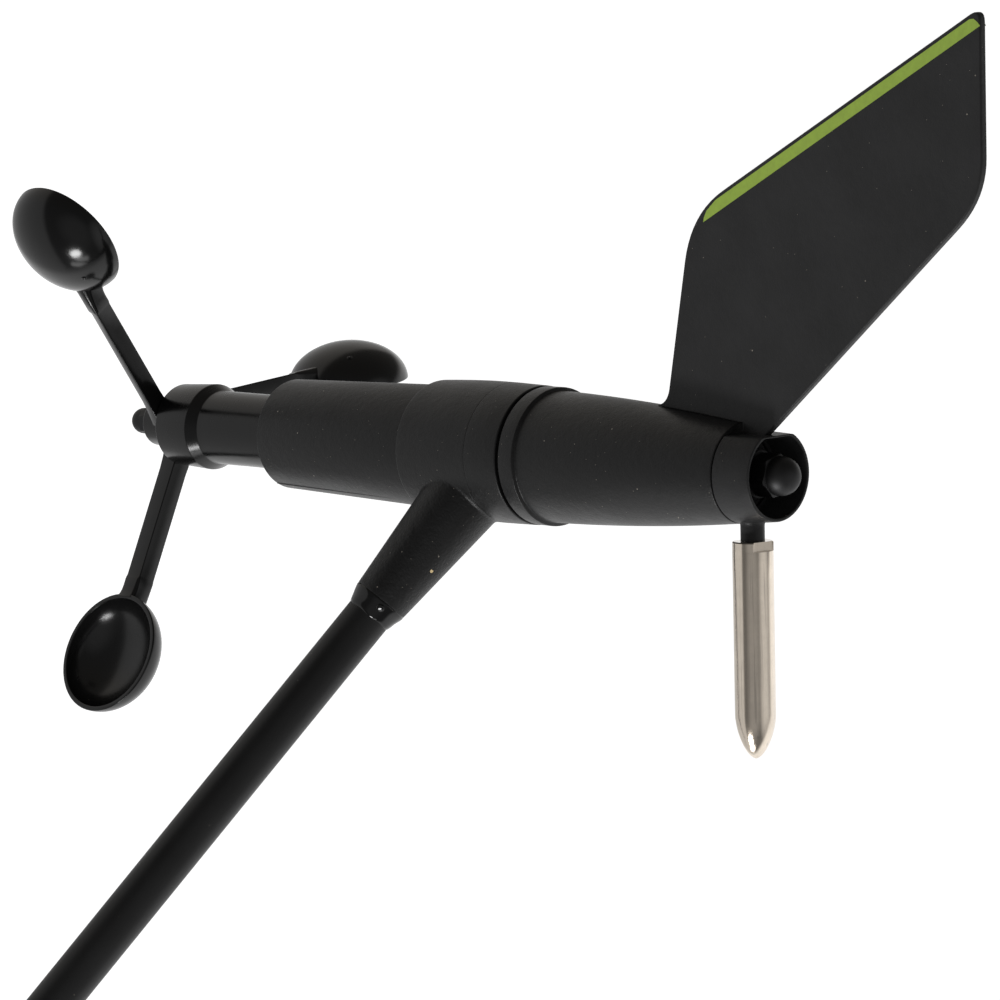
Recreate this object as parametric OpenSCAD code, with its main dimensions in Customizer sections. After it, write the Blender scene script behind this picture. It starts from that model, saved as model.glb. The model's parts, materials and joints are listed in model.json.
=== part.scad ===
/* [Head] */
// Diameter of the upper housing at the vane gap
head_d = 36.2; // [35.8:0.1:36.6]
// Diameter of the lower housing at its open skirt
skirt_d = 29.2; // [28.4:0.1:29.6]
// Length of the upper housing and its cap, from the vane gap down to the seam
upper_len = 37.4; // [37:0.1:38]
// Length of the lower housing, from the seam down to the skirt's rim
lower_len = 55.4; // [50:0.5:58]

/* [Wand] */
// Diameter of the wand tube
wand_d = 12; // [11.6:0.1:12]
// Distance along the wand from the rotor axis to the end plug's shoulder
wand_reach = 320; // [200:5:450]
// Angle between the wand and the straight-down direction
wand_tilt = 68.4; // [62:0.2:74]

/* [Vane] */
// Heading of the vane's fin at rest, counterclockwise from the wand
vane_heading = 216; // [0:1:360]
// Height of the fin's tall edge above the vane gap
fin_top = 149.7; // [140:0.1:160]
// Thickness of the fin
fin_t = 2.2; // [1.8:0.1:2.6]
// Diameter of the counterweight
weight_d = 10.5; // [9:0.5:11]
// Distance from the rotor axis to the counterweight's tip
weight_reach = 72.4; // [65:0.2:80]

/* [Cups] */
// Heading of the first cup at rest, counterclockwise from the wand
cups_heading = 11; // [0:1:360]
// Distance from the rotor axis to a cup's centre
cup_reach = 65.8; // [60:0.2:72]
// Outer diameter of a cup's rim
cup_d = 33.4; // [31:0.2:35]
// Depth of a cup, from the rim plane to its outer crown
cup_depth = 11.6; // [11:0.1:13]

/* [Hidden] */

fine = 64;            // facets of large round shapes
small = 32;           // facets of small round shapes
seat = 0.04;          // clearance between parts that are fastened to each other
gap = 0.4;            // clearance between parts that move past each other
cut = 0.5;            // how far a cutting tool runs past a face

// wand
wand_r = wand_d / 2;
wand_bore_r = wand_r - 1;
wand_z = -15.9;       // where the wand's axis meets the rotor axis
wand_start = 22;      // where the wand tube begins, along its axis
boss_end = 49.3;      // where the boss stops tapering
boss_tip = 54;        // where the boss ends on the wand
plug_r = 8;           // the end plug's spigot
plug_len = 26;        // length of the spigot beyond its shoulder
flange_r = 10;        // the end plug's shoulder
nut_cover = 8;        // how far the locking nut reaches over the spigot
origin_along = wand_reach + nut_cover + (plug_len - nut_cover) / 2;
head_at = [-origin_along * sin(wand_tilt), 0, origin_along * cos(wand_tilt) - wand_z];

// head: heights are measured from the vane gap, upwards
head_r = head_d / 2;
shell_r = 18.3;       // widest radius of the upper housing
cap_top = -0.8;
cap_z = -11.9;        // joint between the cap and the upper housing
upper_z = -upper_len;
upper_r = 17.55;
bore_r = 16;          // inside of the upper housing
lower_top_z = upper_z - 0.6;
lower_z = lower_top_z - lower_len + 0.6;
lower_r = 16.2;
skirt_r = skirt_d / 2;
floor_top = -46;      // floor inside the lower housing
floor_z = -50;
post_r = 9.5;
post_top = 57.5;
post_z = -20;
tube_r = 7.4;         // cup bearing tube
tube_top = -44;
tube_z = -118;

// ball bearings: bore radius, outer radius, width, ball radius
vane_bearing = [3, 7.5, 5, 1.1];
cup_bearing = [2, 5.5, 4, 0.85];
upper_vane_bearing_z = post_top - 5.5;
lower_vane_bearing_z = post_z;
upper_cup_bearing_z = -54;
lower_cup_bearing_z = tube_z;

// vane
band_top = 5.1;
band_r = 18;
barrel_z = 5.7;
barrel_r0 = 17.05;
barrel_top = 69.6;
barrel_r1 = 12.8;
barrel_bulge = 0.75;
barrel_wall = 2;
ring_z = 69.9;
ring_top = 81;
ring_r0 = 12.75;
ring_r1 = 11.65;
recess_r = 10.75;
recess_z = 69;
ring_wall = ring_r1 - recess_r;
flat_at = 10.1;       // distance of the ring's flat side from the axis
spigot_r = 9.8;
spigot_z = 62;
seat_z = 73.5;        // top of the central seat that carries the nut
seat_r = 6.5;
weight_z = 71.9;
neck_r = 2.8;
weight_start = 17;
nose_len = 11.4;
flat_half = 3.9;      // spanner flats, measured from the counterweight's axis
flat_len = 2.4;
flat_turn = 5;        // how far the flats are turned about the counterweight's axis

// cup rotor
hub_top = -121;
hub_edge = -124;
hub_r = 11.6;
hub_z = -136.4;
hub_r0 = 10.95;
sleeve_r = 9.9;
sleeve_bore_r = 8.3;
sleeve_top = -62;
collar_r = 6.3;
collar_z = -146.5;
arm_top = -136.8;     // top face of the arms
arm_w = 5.6;          // width of an arm around the circle
arm_front = 5.2;      // height of an arm on its open side
arm_back = 3.2;       // height of an arm on the cup's crown side
arm_collar = 44.2;    // where an arm thickens, from the rotor axis
arm_side = 3.8;       // how far an arm lies to the cup's crown side of the radius
cup_z = -139.2;
cup_r = cup_d / 2;
cup_wall = 1.1;
rim_t = 1.3;          // thickness of the bead along a cup's rim
rim_h = 1.4;

// boards
board_t = 1.6;
angle_board_z = -32.9;
speed_board_z = -42.6;

// ---- placing ----

module on_head() { translate(head_at) children(); }

module on_wand(along) {
  on_head() translate([0, 0, wand_z]) rotate([0, 180 - wand_tilt, 0])
    translate([0, 0, along]) children();
}

module on_vane() { on_head() rotate([0, 0, vane_heading]) children(); }

module on_cup(i) { on_head() rotate([0, 0, cups_heading + 120 * i]) children(); }

// ---- helpers ----

// Turns an outline of [radius, height] points about the axis
module turned(outline, facets = fine) { rotate_extrude($fn = facets) polygon(outline); }

module ring(r_out, r_in, z0, z1, facets = fine) {
  turned([[r_in, z0], [r_out, z0], [r_out, z1], [r_in, z1]], facets);
}

module disc(r, z0, z1, facets = fine) {
  translate([0, 0, z0]) cylinder(r = r, h = z1 - z0, $fn = facets);
}

module around(count, radius, start = 0) {
  for (i = [0:count - 1]) rotate([0, 0, start + i * 360 / count]) translate([radius, 0, 0]) children();
}

// Points of a quadratic curve from a to c, bending towards b
function curve(a, b, c, n = 8) =
  [for (i = [0:n]) let (t = i / n) (1 - t) * (1 - t) * a + 2 * t * (1 - t) * b + t * t * c];

function toward(p, q, d) = p + (q - p) * d / norm(q - p);

// A corner p between its neighbours a and c, rounded from d before it to e after it
function rounded(a, p, c, d, e) = curve(toward(p, a, d), p, toward(p, c, e));

// Outer radius of the vane barrel at height z
function barrel_r(z) =
  let (t = (z - barrel_z) / (barrel_top - barrel_z))
  barrel_r0 + (barrel_r1 - barrel_r0) * t + 4 * barrel_bulge * t * (1 - t);

// Cap nut with a domed end, standing on z = 0
module cap_nut(flats, hex_h, total_h, thread_r, depth) {
  hex_r = flats / 2 / cos(30);
  dome_r = flats / 2 * 0.99;
  difference() {
    union() {
      intersection() {
        cylinder(r = hex_r, h = hex_h, $fn = 6);
        turned([
          [0, 0], [hex_r * 0.93, 0], [hex_r, 0.35], [hex_r, hex_h - 0.6], [hex_r * 0.9, hex_h], [0, hex_h]
        ], small);
      }
      cylinder(r = dome_r, h = total_h - dome_r, $fn = fine);
      translate([0, 0, total_h - dome_r]) sphere(r = dome_r, $fn = fine);
    }
    translate([0, 0, -cut]) cylinder(r = thread_r, h = depth + cut, $fn = small);
  }
}

// Screw with a flat cylinder head below its shank; the head's underside is at z = 0
module screw(shank_r, shank_len, head_r, head_h) {
  difference() {
    union() {
      cylinder(r = shank_r, h = shank_len, $fn = small);
      translate([0, 0, -head_h]) cylinder(r = head_r, h = head_h, $fn = small);
    }
    translate([0, 0, -head_h - cut]) cylinder(r = head_r * 0.5, h = head_h * 0.6 + cut, $fn = 6);
  }
}

// Bearing parts, all standing on z = 0, from a list of bore radius, outer radius, width and ball radius
function ball_pitch(b) = (b[0] + b[1]) / 2;

module ball_groove(b) {
  rotate_extrude($fn = fine) translate([ball_pitch(b), b[2] / 2]) circle(r = b[3] + 0.05, $fn = small);
}

module outer_race(b) {
  land_r = ball_pitch(b) + b[3] * 0.75;
  shield_r = ball_pitch(b) - b[3] * 0.5;
  shield_t = 0.3;
  difference() {
    turned([
      [b[1] - seat, 0], [b[1] - seat, b[2]], [shield_r, b[2]], [shield_r, b[2] - shield_t],
      [land_r, b[2] - shield_t], [land_r, shield_t], [shield_r, shield_t], [shield_r, 0]
    ]);
    ball_groove(b);
  }
}

module inner_race(b) {
  difference() {
    ring(ball_pitch(b) - b[3] * 0.75, b[0] + seat, 0, b[2]);
    ball_groove(b);
  }
}

module balls(b, count) {
  around(count, ball_pitch(b)) translate([0, 0, b[2] / 2]) sphere(r = b[3] - 0.05, $fn = small);
}

// ---- head ----

module upper_housing() {
  color("dimgray") {
    difference() {
      union() {
        on_head() turned([
          [0, upper_z], [upper_r - 0.4, upper_z], [upper_r, upper_z + 0.4], [17.8, -32],
          [18.1, -25], [shell_r, -18], [shell_r, cap_z], [0, cap_z]
        ]);
        on_wand(0) turned([
          [0, 14], [10.4, 14], [7.5, boss_end], [7.1, boss_end + 0.9], [6.7, boss_end + 2.2],
          [6.45, boss_tip], [0, boss_tip]
        ]);
      }
      on_head() disc(bore_r, upper_z - cut, cap_z + cut);
      on_wand(wand_start) cylinder(r = wand_r + seat, h = boss_tip, $fn = fine);
      on_wand(10) cylinder(r = 3, h = wand_start, $fn = small);
      wand_pin_hole();
    }
  }
}

pin_along = 35.7;     // where the locking pin crosses the boss
pin_r = 0.5;

module wand_pin_hole() {
  on_wand(pin_along) rotate([0, -90, 0]) cylinder(r = pin_r + seat, h = head_r, $fn = small);
}

module wand_pin() {
  color("gold") on_wand(pin_along) rotate([0, -90, 0]) translate([0, 0, wand_r + seat])
    cylinder(r = pin_r, h = 2.6, $fn = small);
}

module top_cap() {
  plate_z = -3.8;
  collar_top = 4;
  color("dimgray") on_head() difference() {
    turned([
      [post_r + seat, plate_z], [bore_r - 1.6, plate_z], [bore_r - 1.6, cap_z - 4],
      [bore_r - seat, cap_z - 4],
      [bore_r - seat, cap_z + seat], [shell_r, cap_z + seat],
      [head_r, cap_top - 0.3], [head_r - 0.3, cap_top],
      [post_r + 2, cap_top], [post_r + 2, collar_top], [post_r + seat, collar_top]
    ]);
    around(3, post_screw_ring, 60) disc(1.25 + seat, plate_z - cut, plate_z + 2.2, small);
  }
}

post_screw_ring = 12;
post_flange_top = -3.9;
post_flange_z = -6.9;

module bearing_post() {
  b = vane_bearing;
  seat_h = b[2] + 0.5;
  color("silver") on_head() difference() {
    union() {
      disc(post_r, post_z, post_top);
      disc(14, post_flange_z, post_flange_top);
    }
    translate([0, 0, post_z - cut]) cylinder(r = 6.2, h = post_top - post_z + 2 * cut, $fn = fine);
    translate([0, 0, post_z - cut]) cylinder(r = b[1], h = b[2] + cut, $fn = fine);
    translate([0, 0, post_top - seat_h]) cylinder(r = b[1], h = seat_h + cut, $fn = fine);
    around(3, post_screw_ring, 60) disc(1.25 + seat, post_flange_z - cut, post_flange_z + 4, small);
  }
}

module post_screws() {
  color("silver") on_head() around(3, post_screw_ring, 60)
    translate([0, 0, post_flange_z]) screw(1.25, 5, 2, 1.6);
}

module upper_vane_race() {
  color("silver") on_head() translate([0, 0, upper_vane_bearing_z]) outer_race(vane_bearing);
}

module lower_vane_race() {
  color("silver") on_head() translate([0, 0, lower_vane_bearing_z]) outer_race(vane_bearing);
}

module vane_bearing_balls() {
  color("silver") on_head() {
    for (z = [upper_vane_bearing_z, lower_vane_bearing_z]) translate([0, 0, z]) balls(vane_bearing, 9);
  }
}

seal_z = -35.4;
seal_r = 0.9;

module lower_housing() {
  spigot_top = -33;
  ledge_r = 13;
  color("dimgray") on_head() difference() {
    turned([
      [tube_r + seat, floor_z], [skirt_r - 1.3, floor_z],
      [skirt_r - 1.9, lower_z + 1], [skirt_r - 1.7, lower_z],
      [skirt_r - 0.3, lower_z], [skirt_r, lower_z + 0.3], [lower_r, lower_top_z - 0.4],
      [lower_r, lower_top_z], [bore_r - seat, lower_top_z], [bore_r - seat, spigot_top], [14, spigot_top],
      [14, speed_board_z], [ledge_r, speed_board_z], [ledge_r, floor_top], [tube_r + seat, floor_top]
    ]);
    rotate_extrude($fn = fine) translate([bore_r, seal_z]) circle(r = seal_r + seat, $fn = small);
    around(3, 9.6, 30) translate([0, 0, floor_z - cut]) cylinder(r = 1 + seat, h = 5, $fn = small);
  }
}

module housing_seal() {
  color("black") on_head() rotate_extrude($fn = fine) intersection() {
    translate([bore_r, seal_z]) circle(r = seal_r, $fn = small);
    translate([bore_r - 2 * seal_r, seal_z - seal_r]) square([2 * seal_r - seat / 2, 2 * seal_r]);
  }
}

module cup_bearing_tube() {
  b = cup_bearing;
  color("silver") on_head() difference() {
    union() {
      disc(tube_r, tube_z, tube_top);
      disc(11.5, floor_top + seat, tube_top);
    }
    translate([0, 0, tube_z - cut]) cylinder(r = 4.4, h = tube_top - tube_z + 2 * cut, $fn = fine);
    translate([0, 0, tube_z - cut]) cylinder(r = b[1], h = b[2] + cut, $fn = fine);
    disc(b[1], upper_cup_bearing_z, tube_top + cut);
    around(3, 9.6, 30) translate([0, 0, floor_top - cut]) cylinder(r = 1 + seat, h = 3, $fn = small);
  }
}

module tube_screws() {
  color("silver") on_head() around(3, 9.6, 30) translate([0, 0, tube_top]) mirror([0, 0, 1]) {
    screw(1, 5, 1.8, 1.2);
  }
}

module upper_cup_race() {
  color("silver") on_head() translate([0, 0, upper_cup_bearing_z]) outer_race(cup_bearing);
}

module lower_cup_race() {
  color("silver") on_head() translate([0, 0, lower_cup_bearing_z]) outer_race(cup_bearing);
}

module cup_bearing_balls() {
  color("silver") on_head() {
    for (z = [upper_cup_bearing_z, lower_cup_bearing_z]) translate([0, 0, z]) balls(cup_bearing, 8);
  }
}

// ---- electronics ----

cable_r = 1.75;
cable_bend = 4;
cable_turn_at = 17;   // where the cable leaves the wand's axis
cable_turn = [
  cable_turn_at * sin(wand_tilt) - cable_bend * cos(wand_tilt), 0,
  wand_z - cable_turn_at * cos(wand_tilt) - cable_bend * sin(wand_tilt)
];
cable_x = cable_turn[0] - cable_bend;
header_h = 1.6;

module angle_board() {
  top = angle_board_z + board_t;
  color("darkgreen") on_head() difference() {
    disc(bore_r - 0.8, angle_board_z + seat, top);
    for (y = [-1.5, 0, 1.5]) translate([-8, y, angle_board_z])
      disc(0.6, -cut, board_t + cut, small);
  }
}

module angle_sensor() {
  color("black") on_head() translate([-2.5, -2.5, angle_board_z + board_t + seat]) cube([5, 5, 1.2]);
}

module board_parts() {
  top = angle_board_z + board_t + seat;
  color("ivory") on_head() {
    translate([cable_x - 2.5, -3, top]) cube([5, 6, header_h]);
    for (y = [-9, -6, 6, 9]) translate([-1, y - 0.6, top]) cube([2, 1.2, 0.9]);
    for (x = [-11, 4]) translate([x, -6, top]) cube([1.2, 2, 0.9]);
    translate([-8.5, 4, top]) cylinder(r = 1.8, h = 2, $fn = small);
  }
}

module speed_board() {
  color("darkgreen") on_head() difference() {
    disc(13.9, speed_board_z + seat, speed_board_z + board_t);
    for (y = [-1.5, 0, 1.5]) translate([-8, y, speed_board_z])
      disc(0.6, -cut, board_t + cut, small);
  }
}

module speed_sensor() {
  color("black") on_head() translate([-1.5, -1.5, speed_board_z - 0.9]) cube([3, 3, 0.9]);
}

module board_wires() {
  color("firebrick") on_head() for (y = [-1.5, 0, 1.5]) {
    translate([-8, y, 0]) disc(0.5, speed_board_z, angle_board_z + board_t, small);
  }
}

module wand_cable() {
  tail = wand_reach + plug_len - insert_len - seat;
  color("black") {
    on_wand(cable_turn_at) cylinder(r = cable_r, h = tail - cable_turn_at, $fn = small);
    on_head() translate(cable_turn) rotate([90, 0, 0]) rotate([0, 0, wand_tilt]) {
      rotate_extrude(angle = 180 - wand_tilt, $fn = fine) translate([cable_bend, 0])
        circle(r = cable_r, $fn = small);
    }
    on_head() translate([cable_x, 0, 0])
      disc(cable_r, angle_board_z + board_t + header_h + 2 * seat, cable_turn[2], small);
  }
}

// ---- wand and its end ----

insert_len = 8;
insert_r = 6.4;

module wand_tube() {
  color("black") on_wand(0) ring(wand_r, wand_bore_r, wand_start + seat, wand_reach - 4 - seat);
}

module end_plug() {
  tail_len = 24;
  color("black") on_wand(wand_reach) difference() {
    union() {
      translate([0, 0, -tail_len]) cylinder(r = wand_bore_r - seat, h = tail_len, $fn = fine);
      disc(flange_r, -4, 0);
      turned([[0, 0], [plug_r, 0], [plug_r, plug_len - 0.6], [plug_r - 0.6, plug_len], [0, plug_len]]);
    }
    translate([0, 0, -tail_len - cut]) cylinder(r = 2.4, h = tail_len + plug_len, $fn = small);
    disc(insert_r + seat, plug_len - insert_len, plug_len + cut);
    // locating keyway
    translate([plug_r - 1, -1, nut_cover + 2]) cube([2, 2, plug_len]);
    // groove for the seal
    rotate_extrude($fn = fine) translate([plug_r, 2]) circle(r = 0.8, $fn = small);
  }
}

// The sealing ring, squeezed flush with the spigot as it sits in its socket
module plug_seal() {
  color("black") on_wand(wand_reach) rotate_extrude($fn = fine) intersection() {
    translate([plug_r, 2]) circle(r = 0.76, $fn = small);
    translate([plug_r - 2, 1]) square([2, 2]);
  }
}

module connector_insert() {
  color("dimgray") on_wand(wand_reach) difference() {
    disc(insert_r, plug_len - insert_len + seat, plug_len - 0.3);
    around(6, 3.6) disc(0.9 + seat, plug_len - insert_len - cut, plug_len + cut, small);
  }
}

module connector_contacts() {
  color("gold") on_wand(wand_reach) around(6, 3.6) difference() {
    disc(0.9, plug_len - insert_len + 0.5, plug_len - 0.2, small);
    translate([0, 0, plug_len - 6]) cylinder(r = 0.5, h = 7, $fn = small);
  }
}

module locking_nut() {
  nut_back = -14;
  nut_r = 13;
  ribs = 24;
  rib_r = 0.6;
  color("black") on_wand(wand_reach) {
    turned([
      [wand_r + gap, nut_back], [nut_r - 2.5, nut_back], [nut_r - rib_r, nut_back + 2],
      [nut_r - rib_r, nut_cover - 1], [nut_r - 1.4, nut_cover], [flange_r + gap, nut_cover],
      [flange_r + gap, -4 - gap], [wand_r + gap, -4 - gap]
    ]);
    around(ribs, nut_r - rib_r) disc(rib_r, nut_back + 3, nut_cover - 2, small);
  }
}

// ---- vane ----

module vane_barrel() {
  steps = 14;
  inner_top = spigot_z;
  wall_z = barrel_top;
  color("dimgray") on_vane() turned(concat(
    [
      [band_r - 0.3, cap_top + 1], [band_r, cap_top + 1.3],
      [band_r, band_top - 0.4], [band_r - 0.4, band_top]
    ],
    [for (i = [0:steps]) let (z = barrel_z + (barrel_top - barrel_z) * i / steps) [barrel_r(z), z]],
    [[spigot_r + seat, wall_z], [spigot_r + seat, inner_top]],
    [
      for (i = [steps - 2:-1:0]) let (z = barrel_z + (barrel_top - barrel_z) * i / steps)
      [barrel_r(z) - barrel_wall, z]
    ],
    [[barrel_r0 - barrel_wall, cap_top + 1]]
  ));
}

// The fin's outline in the plane of the rotor axis: height first, then distance from the axis
fin_slope = 0.556;    // rise of the outer edge per unit of height
lead_foot = [44.95, 20];
outer_foot = [53.4, 64.8];
outer_tip = [fin_top, outer_foot[1] + fin_slope * (fin_top - outer_foot[0])];
back_corner = [fin_top, 71.9];
ring_foot = [ring_top - 2.9, flat_at];
toe = [41, 15.85];
heel = [44.25, 16.3];

fin_outline = concat(
  curve(toe, heel, lead_foot),
  rounded(lead_foot, outer_foot, outer_tip, 12.5, 12.5),
  rounded(outer_foot, outer_tip, back_corner, 4, 4),
  rounded(outer_tip, back_corner, ring_foot, 10, 12),
  [
    ring_foot, [ring_foot[0], flat_at - ring_wall / 2], [ring_z + 0.5, flat_at - ring_wall / 2],
    [ring_z + 0.5, barrel_r1 + 0.2]
  ],
  [for (z = [66, 60, 54, 48]) [z, barrel_r(z) + 0.25]],
  [[toe[0], barrel_r(toe[0]) + 0.25]]
);

// Stands an outline of [height, distance] up in the vane's plane with thickness t
module upright(outline, t) {
  rotate([90, 0, 0]) translate([0, 0, -t / 2])
    linear_extrude(height = t) polygon([for (p = outline) [p[1], p[0]]]);
}

// The stub that carries the counterweight, flared at the ring and clear of the barrel's top
module weight_neck() {
  difference() {
    translate([0, 0, weight_z]) rotate([0, -90, 0]) turned(concat(
      [[0, recess_r + 0.4], [neck_r + 1.2, recess_r + 0.4]],
      curve([neck_r + 1.2, 11.9], [neck_r, 12.3], [neck_r, 14.2], 4),
      [[neck_r, weight_start - seat], [0, weight_start - seat]]
    ), small);
    disc(ring_r0 + 0.3, ring_z - 5, ring_z);
  }
}

// The ring around the nut: a deep recess with a central seat, and a flat side that carries the fin
module vane_ring() {
  difference() {
    turned([
      [0, spigot_z + seat], [spigot_r, spigot_z + seat], [spigot_r, ring_z], [ring_r0, ring_z],
      [ring_r1, ring_top - 0.3], [ring_r1 - 0.3, ring_top], [0, ring_top]
    ]);
    translate([flat_at, -ring_r0, ring_z]) cube(2 * ring_r0);
    difference() {
      disc(recess_r, recess_z, ring_top + cut);
      disc(seat_r, recess_z - cut, seat_z);
      translate([flat_at - ring_wall, -ring_r0, recess_z - cut]) cube(2 * ring_r0);
    }
  }
}

module vane_fin() {
  color("black") on_vane() difference() {
    union() {
      vane_ring();
      upright(fin_outline, fin_t);
      weight_neck();
    }
    translate([0, 0, spigot_z - cut]) cylinder(r = 3 + seat, h = seat_z, $fn = fine);
    translate([0, 0, weight_z]) rotate([0, -90, 0]) disc(1.5 + seat, 12, 20, small);
  }
}

stripe_in = 2.6;      // how far the stripe lies inside the fin's outer edge
stripe_w = 3.1;
stripe_t = 0.12;

module edge_stripe() {
  start = outer_foot + [3, 1.5];
  outer = outer_tip + [-1.6, -2.2];
  along = (outer - start) / norm(outer - start);
  inward = [along[1], -along[0]];
  color("yellowgreen") on_vane() for (side = [-1, 1]) {
    translate([0, side * (fin_t / 2 + stripe_t / 2 + 0.01), 0]) upright([
      start + inward * (stripe_in - 1.4) + along * 5.2, outer + inward * (stripe_in - 1.4),
      outer + inward * (stripe_in + stripe_w - 1.4) + along * 0.4,
      start + inward * (stripe_in + stripe_w - 1.4) + along * 0.4
    ], stripe_t);
  }
}

module counterweight() {
  r = weight_d / 2;
  nose_at = weight_reach - nose_len;
  steps = 14;
  color("lightgray") on_vane() translate([0, 0, weight_z]) rotate([0, -90, 0]) difference() {
    turned(concat(
      [[0, weight_start], [r - 0.3, weight_start], [r, weight_start + 0.3], [r, nose_at]],
      [
        for (i = [1:steps - 1]) let (t = sin(90 * i / steps))
        [r * pow(1 - pow(t, 1.7), 0.6), nose_at + nose_len * t]
      ],
      [[0, weight_reach]]
    ));
    rotate([0, 0, flat_turn]) for (side = [-1, 1])
      translate([side * (flat_half + r) - r, -r, weight_start - cut])
        cube([2 * r, 2 * r, flat_len + cut]);
    translate([0, 0, weight_start - cut]) cylinder(r = 1.5 + seat, h = 6.9, $fn = small);
  }
}

module weight_stud() {
  color("silver") on_vane() translate([0, 0, weight_z]) rotate([0, -90, 0]) translate([0, 0, 12.2]) {
    cylinder(r = 1.5, h = 11, $fn = small);
  }
}

shaft_z = -25.4;
shaft_step_z = upper_vane_bearing_z + 5.04;
thread_top = 83;

module vane_shaft() {
  color("silver") on_head() turned([
    [0, shaft_z], [3, shaft_z], [3, shaft_step_z], [4.4, shaft_step_z], [4.4, spigot_z],
    [3, spigot_z], [3, thread_top - 0.6], [2.4, thread_top], [0, thread_top]
  ]);
}

module vane_spacer() {
  color("silver") on_head()
    ring(4.2, 3 + seat, lower_vane_bearing_z + vane_bearing[2] + seat, upper_vane_bearing_z - seat);
}

module upper_vane_bush() {
  color("silver") on_head() translate([0, 0, upper_vane_bearing_z]) inner_race(vane_bearing);
}

module lower_vane_bush() {
  color("silver") on_head() translate([0, 0, lower_vane_bearing_z]) inner_race(vane_bearing);
}

module vane_clip() {
  color("dimgray") on_head() difference() {
    ring(4.4, 3 + seat, lower_vane_bearing_z - 0.8, lower_vane_bearing_z - seat, small);
    translate([0, -0.8, lower_vane_bearing_z - 2]) cube([8, 1.6, 4]);
  }
}

magnet_z = -28.2;
magnet_h = 2.6;

module magnet_holder() {
  color("gold") on_head() difference() {
    disc(4.6, magnet_z + 0.1, -21.4);
    translate([0, 0, -29]) cylinder(r = 3 + seat, h = 9, $fn = fine);
  }
}

module angle_magnet() { color("silver") on_head() disc(3, magnet_z, magnet_z + magnet_h); }

module vane_washer() { color("silver") on_vane() ring(6, 3 + seat, seat_z + seat, seat_z + 1.4); }

module vane_nut() {
  color("black") on_vane() translate([0, 0, seat_z + 1.45]) rotate([0, 0, 44])
    cap_nut(10, 6, 12, 3 + seat, 9.5);
}

// ---- cup rotor ----

// Outer or inner shape of a cup, opening along +Z at z = 0, with its crown at -depth
module cup_bowl(r, depth) {
  steps = 14;
  turned(concat(
    [[0, 0], [r, 0]],
    [for (i = [1:steps - 1]) [r * cos(90 * i / steps), -depth * sin(90 * i / steps)]],
    [[0, -depth]]
  ));
}

// Puts a cup's own frame in place: the opening faces back around the circle
module at_cup() { translate([cup_reach, 0, cup_z]) rotate([90, 0, 0]) children(); }

module cup() {
  inner_r = cup_r - rim_t;
  difference() {
    union() {
      cup_bowl(cup_r - 0.25, cup_depth);
      disc(cup_r, -rim_h, 0);
    }
    translate([0, 0, 0.01]) cup_bowl(inner_r, cup_depth - cup_wall);
    disc(inner_r, 0, cut);
  }
}

module cup_1() { color("black") on_cup(0) at_cup() cup(); }

module cup_2() { color("black") on_cup(1) at_cup() cup(); }

module cup_3() { color("black") on_cup(2) at_cup() cup(); }

// One arm: a bar with a level top, deeper on the side of the cup's opening and thicker near the cup
module cup_arm() {
  arm_end = cup_reach - cup_r * 0.86;
  difference() {
    translate([0, arm_side, arm_top]) rotate([90, 0, 90]) {
      linear_extrude(height = arm_end) arm_section(0);
      translate([0, 0, arm_collar]) linear_extrude(height = arm_end - arm_collar) arm_section(0.35);
    }
    at_cup() union() {
      cup_bowl(cup_r - 0.25 + seat, cup_depth + seat);
      disc(cup_r + seat, -rim_h - seat, 1);
    }
  }
}

module arm_section(grow) {
  side = arm_w / 2 + grow;
  polygon([
    [-side, grow], [-side, -arm_front - grow], [1.6 - side, -arm_front - grow],
    [side - 0.3, -arm_back - grow], [side, 0.4 - arm_back - grow], [side, grow]
  ]);
}

module cup_hub() {
  shaft_hole = cup_bearing[0] + seat;
  color("black") on_cup(0) difference() {
    union() {
      turned([
        [0, collar_z], [collar_r - 0.5, collar_z], [collar_r, collar_z + 0.5], [collar_r, hub_z],
        [hub_r0 - 0.4, hub_z], [hub_r0, hub_z + 0.4], [hub_r, hub_edge - 0.2], [hub_r - 0.15, hub_edge],
        [sleeve_r + 0.1, hub_top], [sleeve_r, hub_top + 0.15], [sleeve_r, sleeve_top],
        [sleeve_bore_r, sleeve_top], [sleeve_bore_r, tube_z - 2], [0, tube_z - 2]
      ]);
      for (i = [0:2]) rotate([0, 0, 120 * i]) cup_arm();
    }
    translate([0, 0, collar_z - cut]) cylinder(r = shaft_hole, h = 40, $fn = small);
  }
}

cup_shaft_top = -47.6;
cup_step_z = tube_z - 0.9;

module cup_shaft() {
  r = cup_bearing[0];
  color("silver") on_head() turned([
    [0, -153.4], [r, -153.4], [r, tube_z - 1.96], [3, tube_z - 1.96],
    [3, tube_z - seat], [r, tube_z - seat],
    [r, cup_shaft_top], [0, cup_shaft_top]
  ]);
}

module cup_spacer() {
  r = cup_bearing[0];
  color("silver") on_head()
    ring(r + 0.9, r + seat, lower_cup_bearing_z + cup_bearing[2] + seat, upper_cup_bearing_z - seat);
}

module upper_cup_bush() {
  color("silver") on_head() translate([0, 0, upper_cup_bearing_z]) inner_race(cup_bearing);
}

module lower_cup_bush() {
  color("silver") on_head() translate([0, 0, lower_cup_bearing_z]) inner_race(cup_bearing);
}

module speed_magnet() {
  color("silver") on_head() difference() {
    disc(3.6, upper_cup_bearing_z + cup_bearing[2] + seat, -45.6);
    translate([0, 0, -52]) cylinder(r = cup_bearing[0] + seat, h = cup_shaft_top + seat + 52, $fn = fine);
  }
}

module cup_washer() {
  color("silver") on_head() ring(4.5, cup_bearing[0] + seat, collar_z - 1, collar_z - seat);
}

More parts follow.
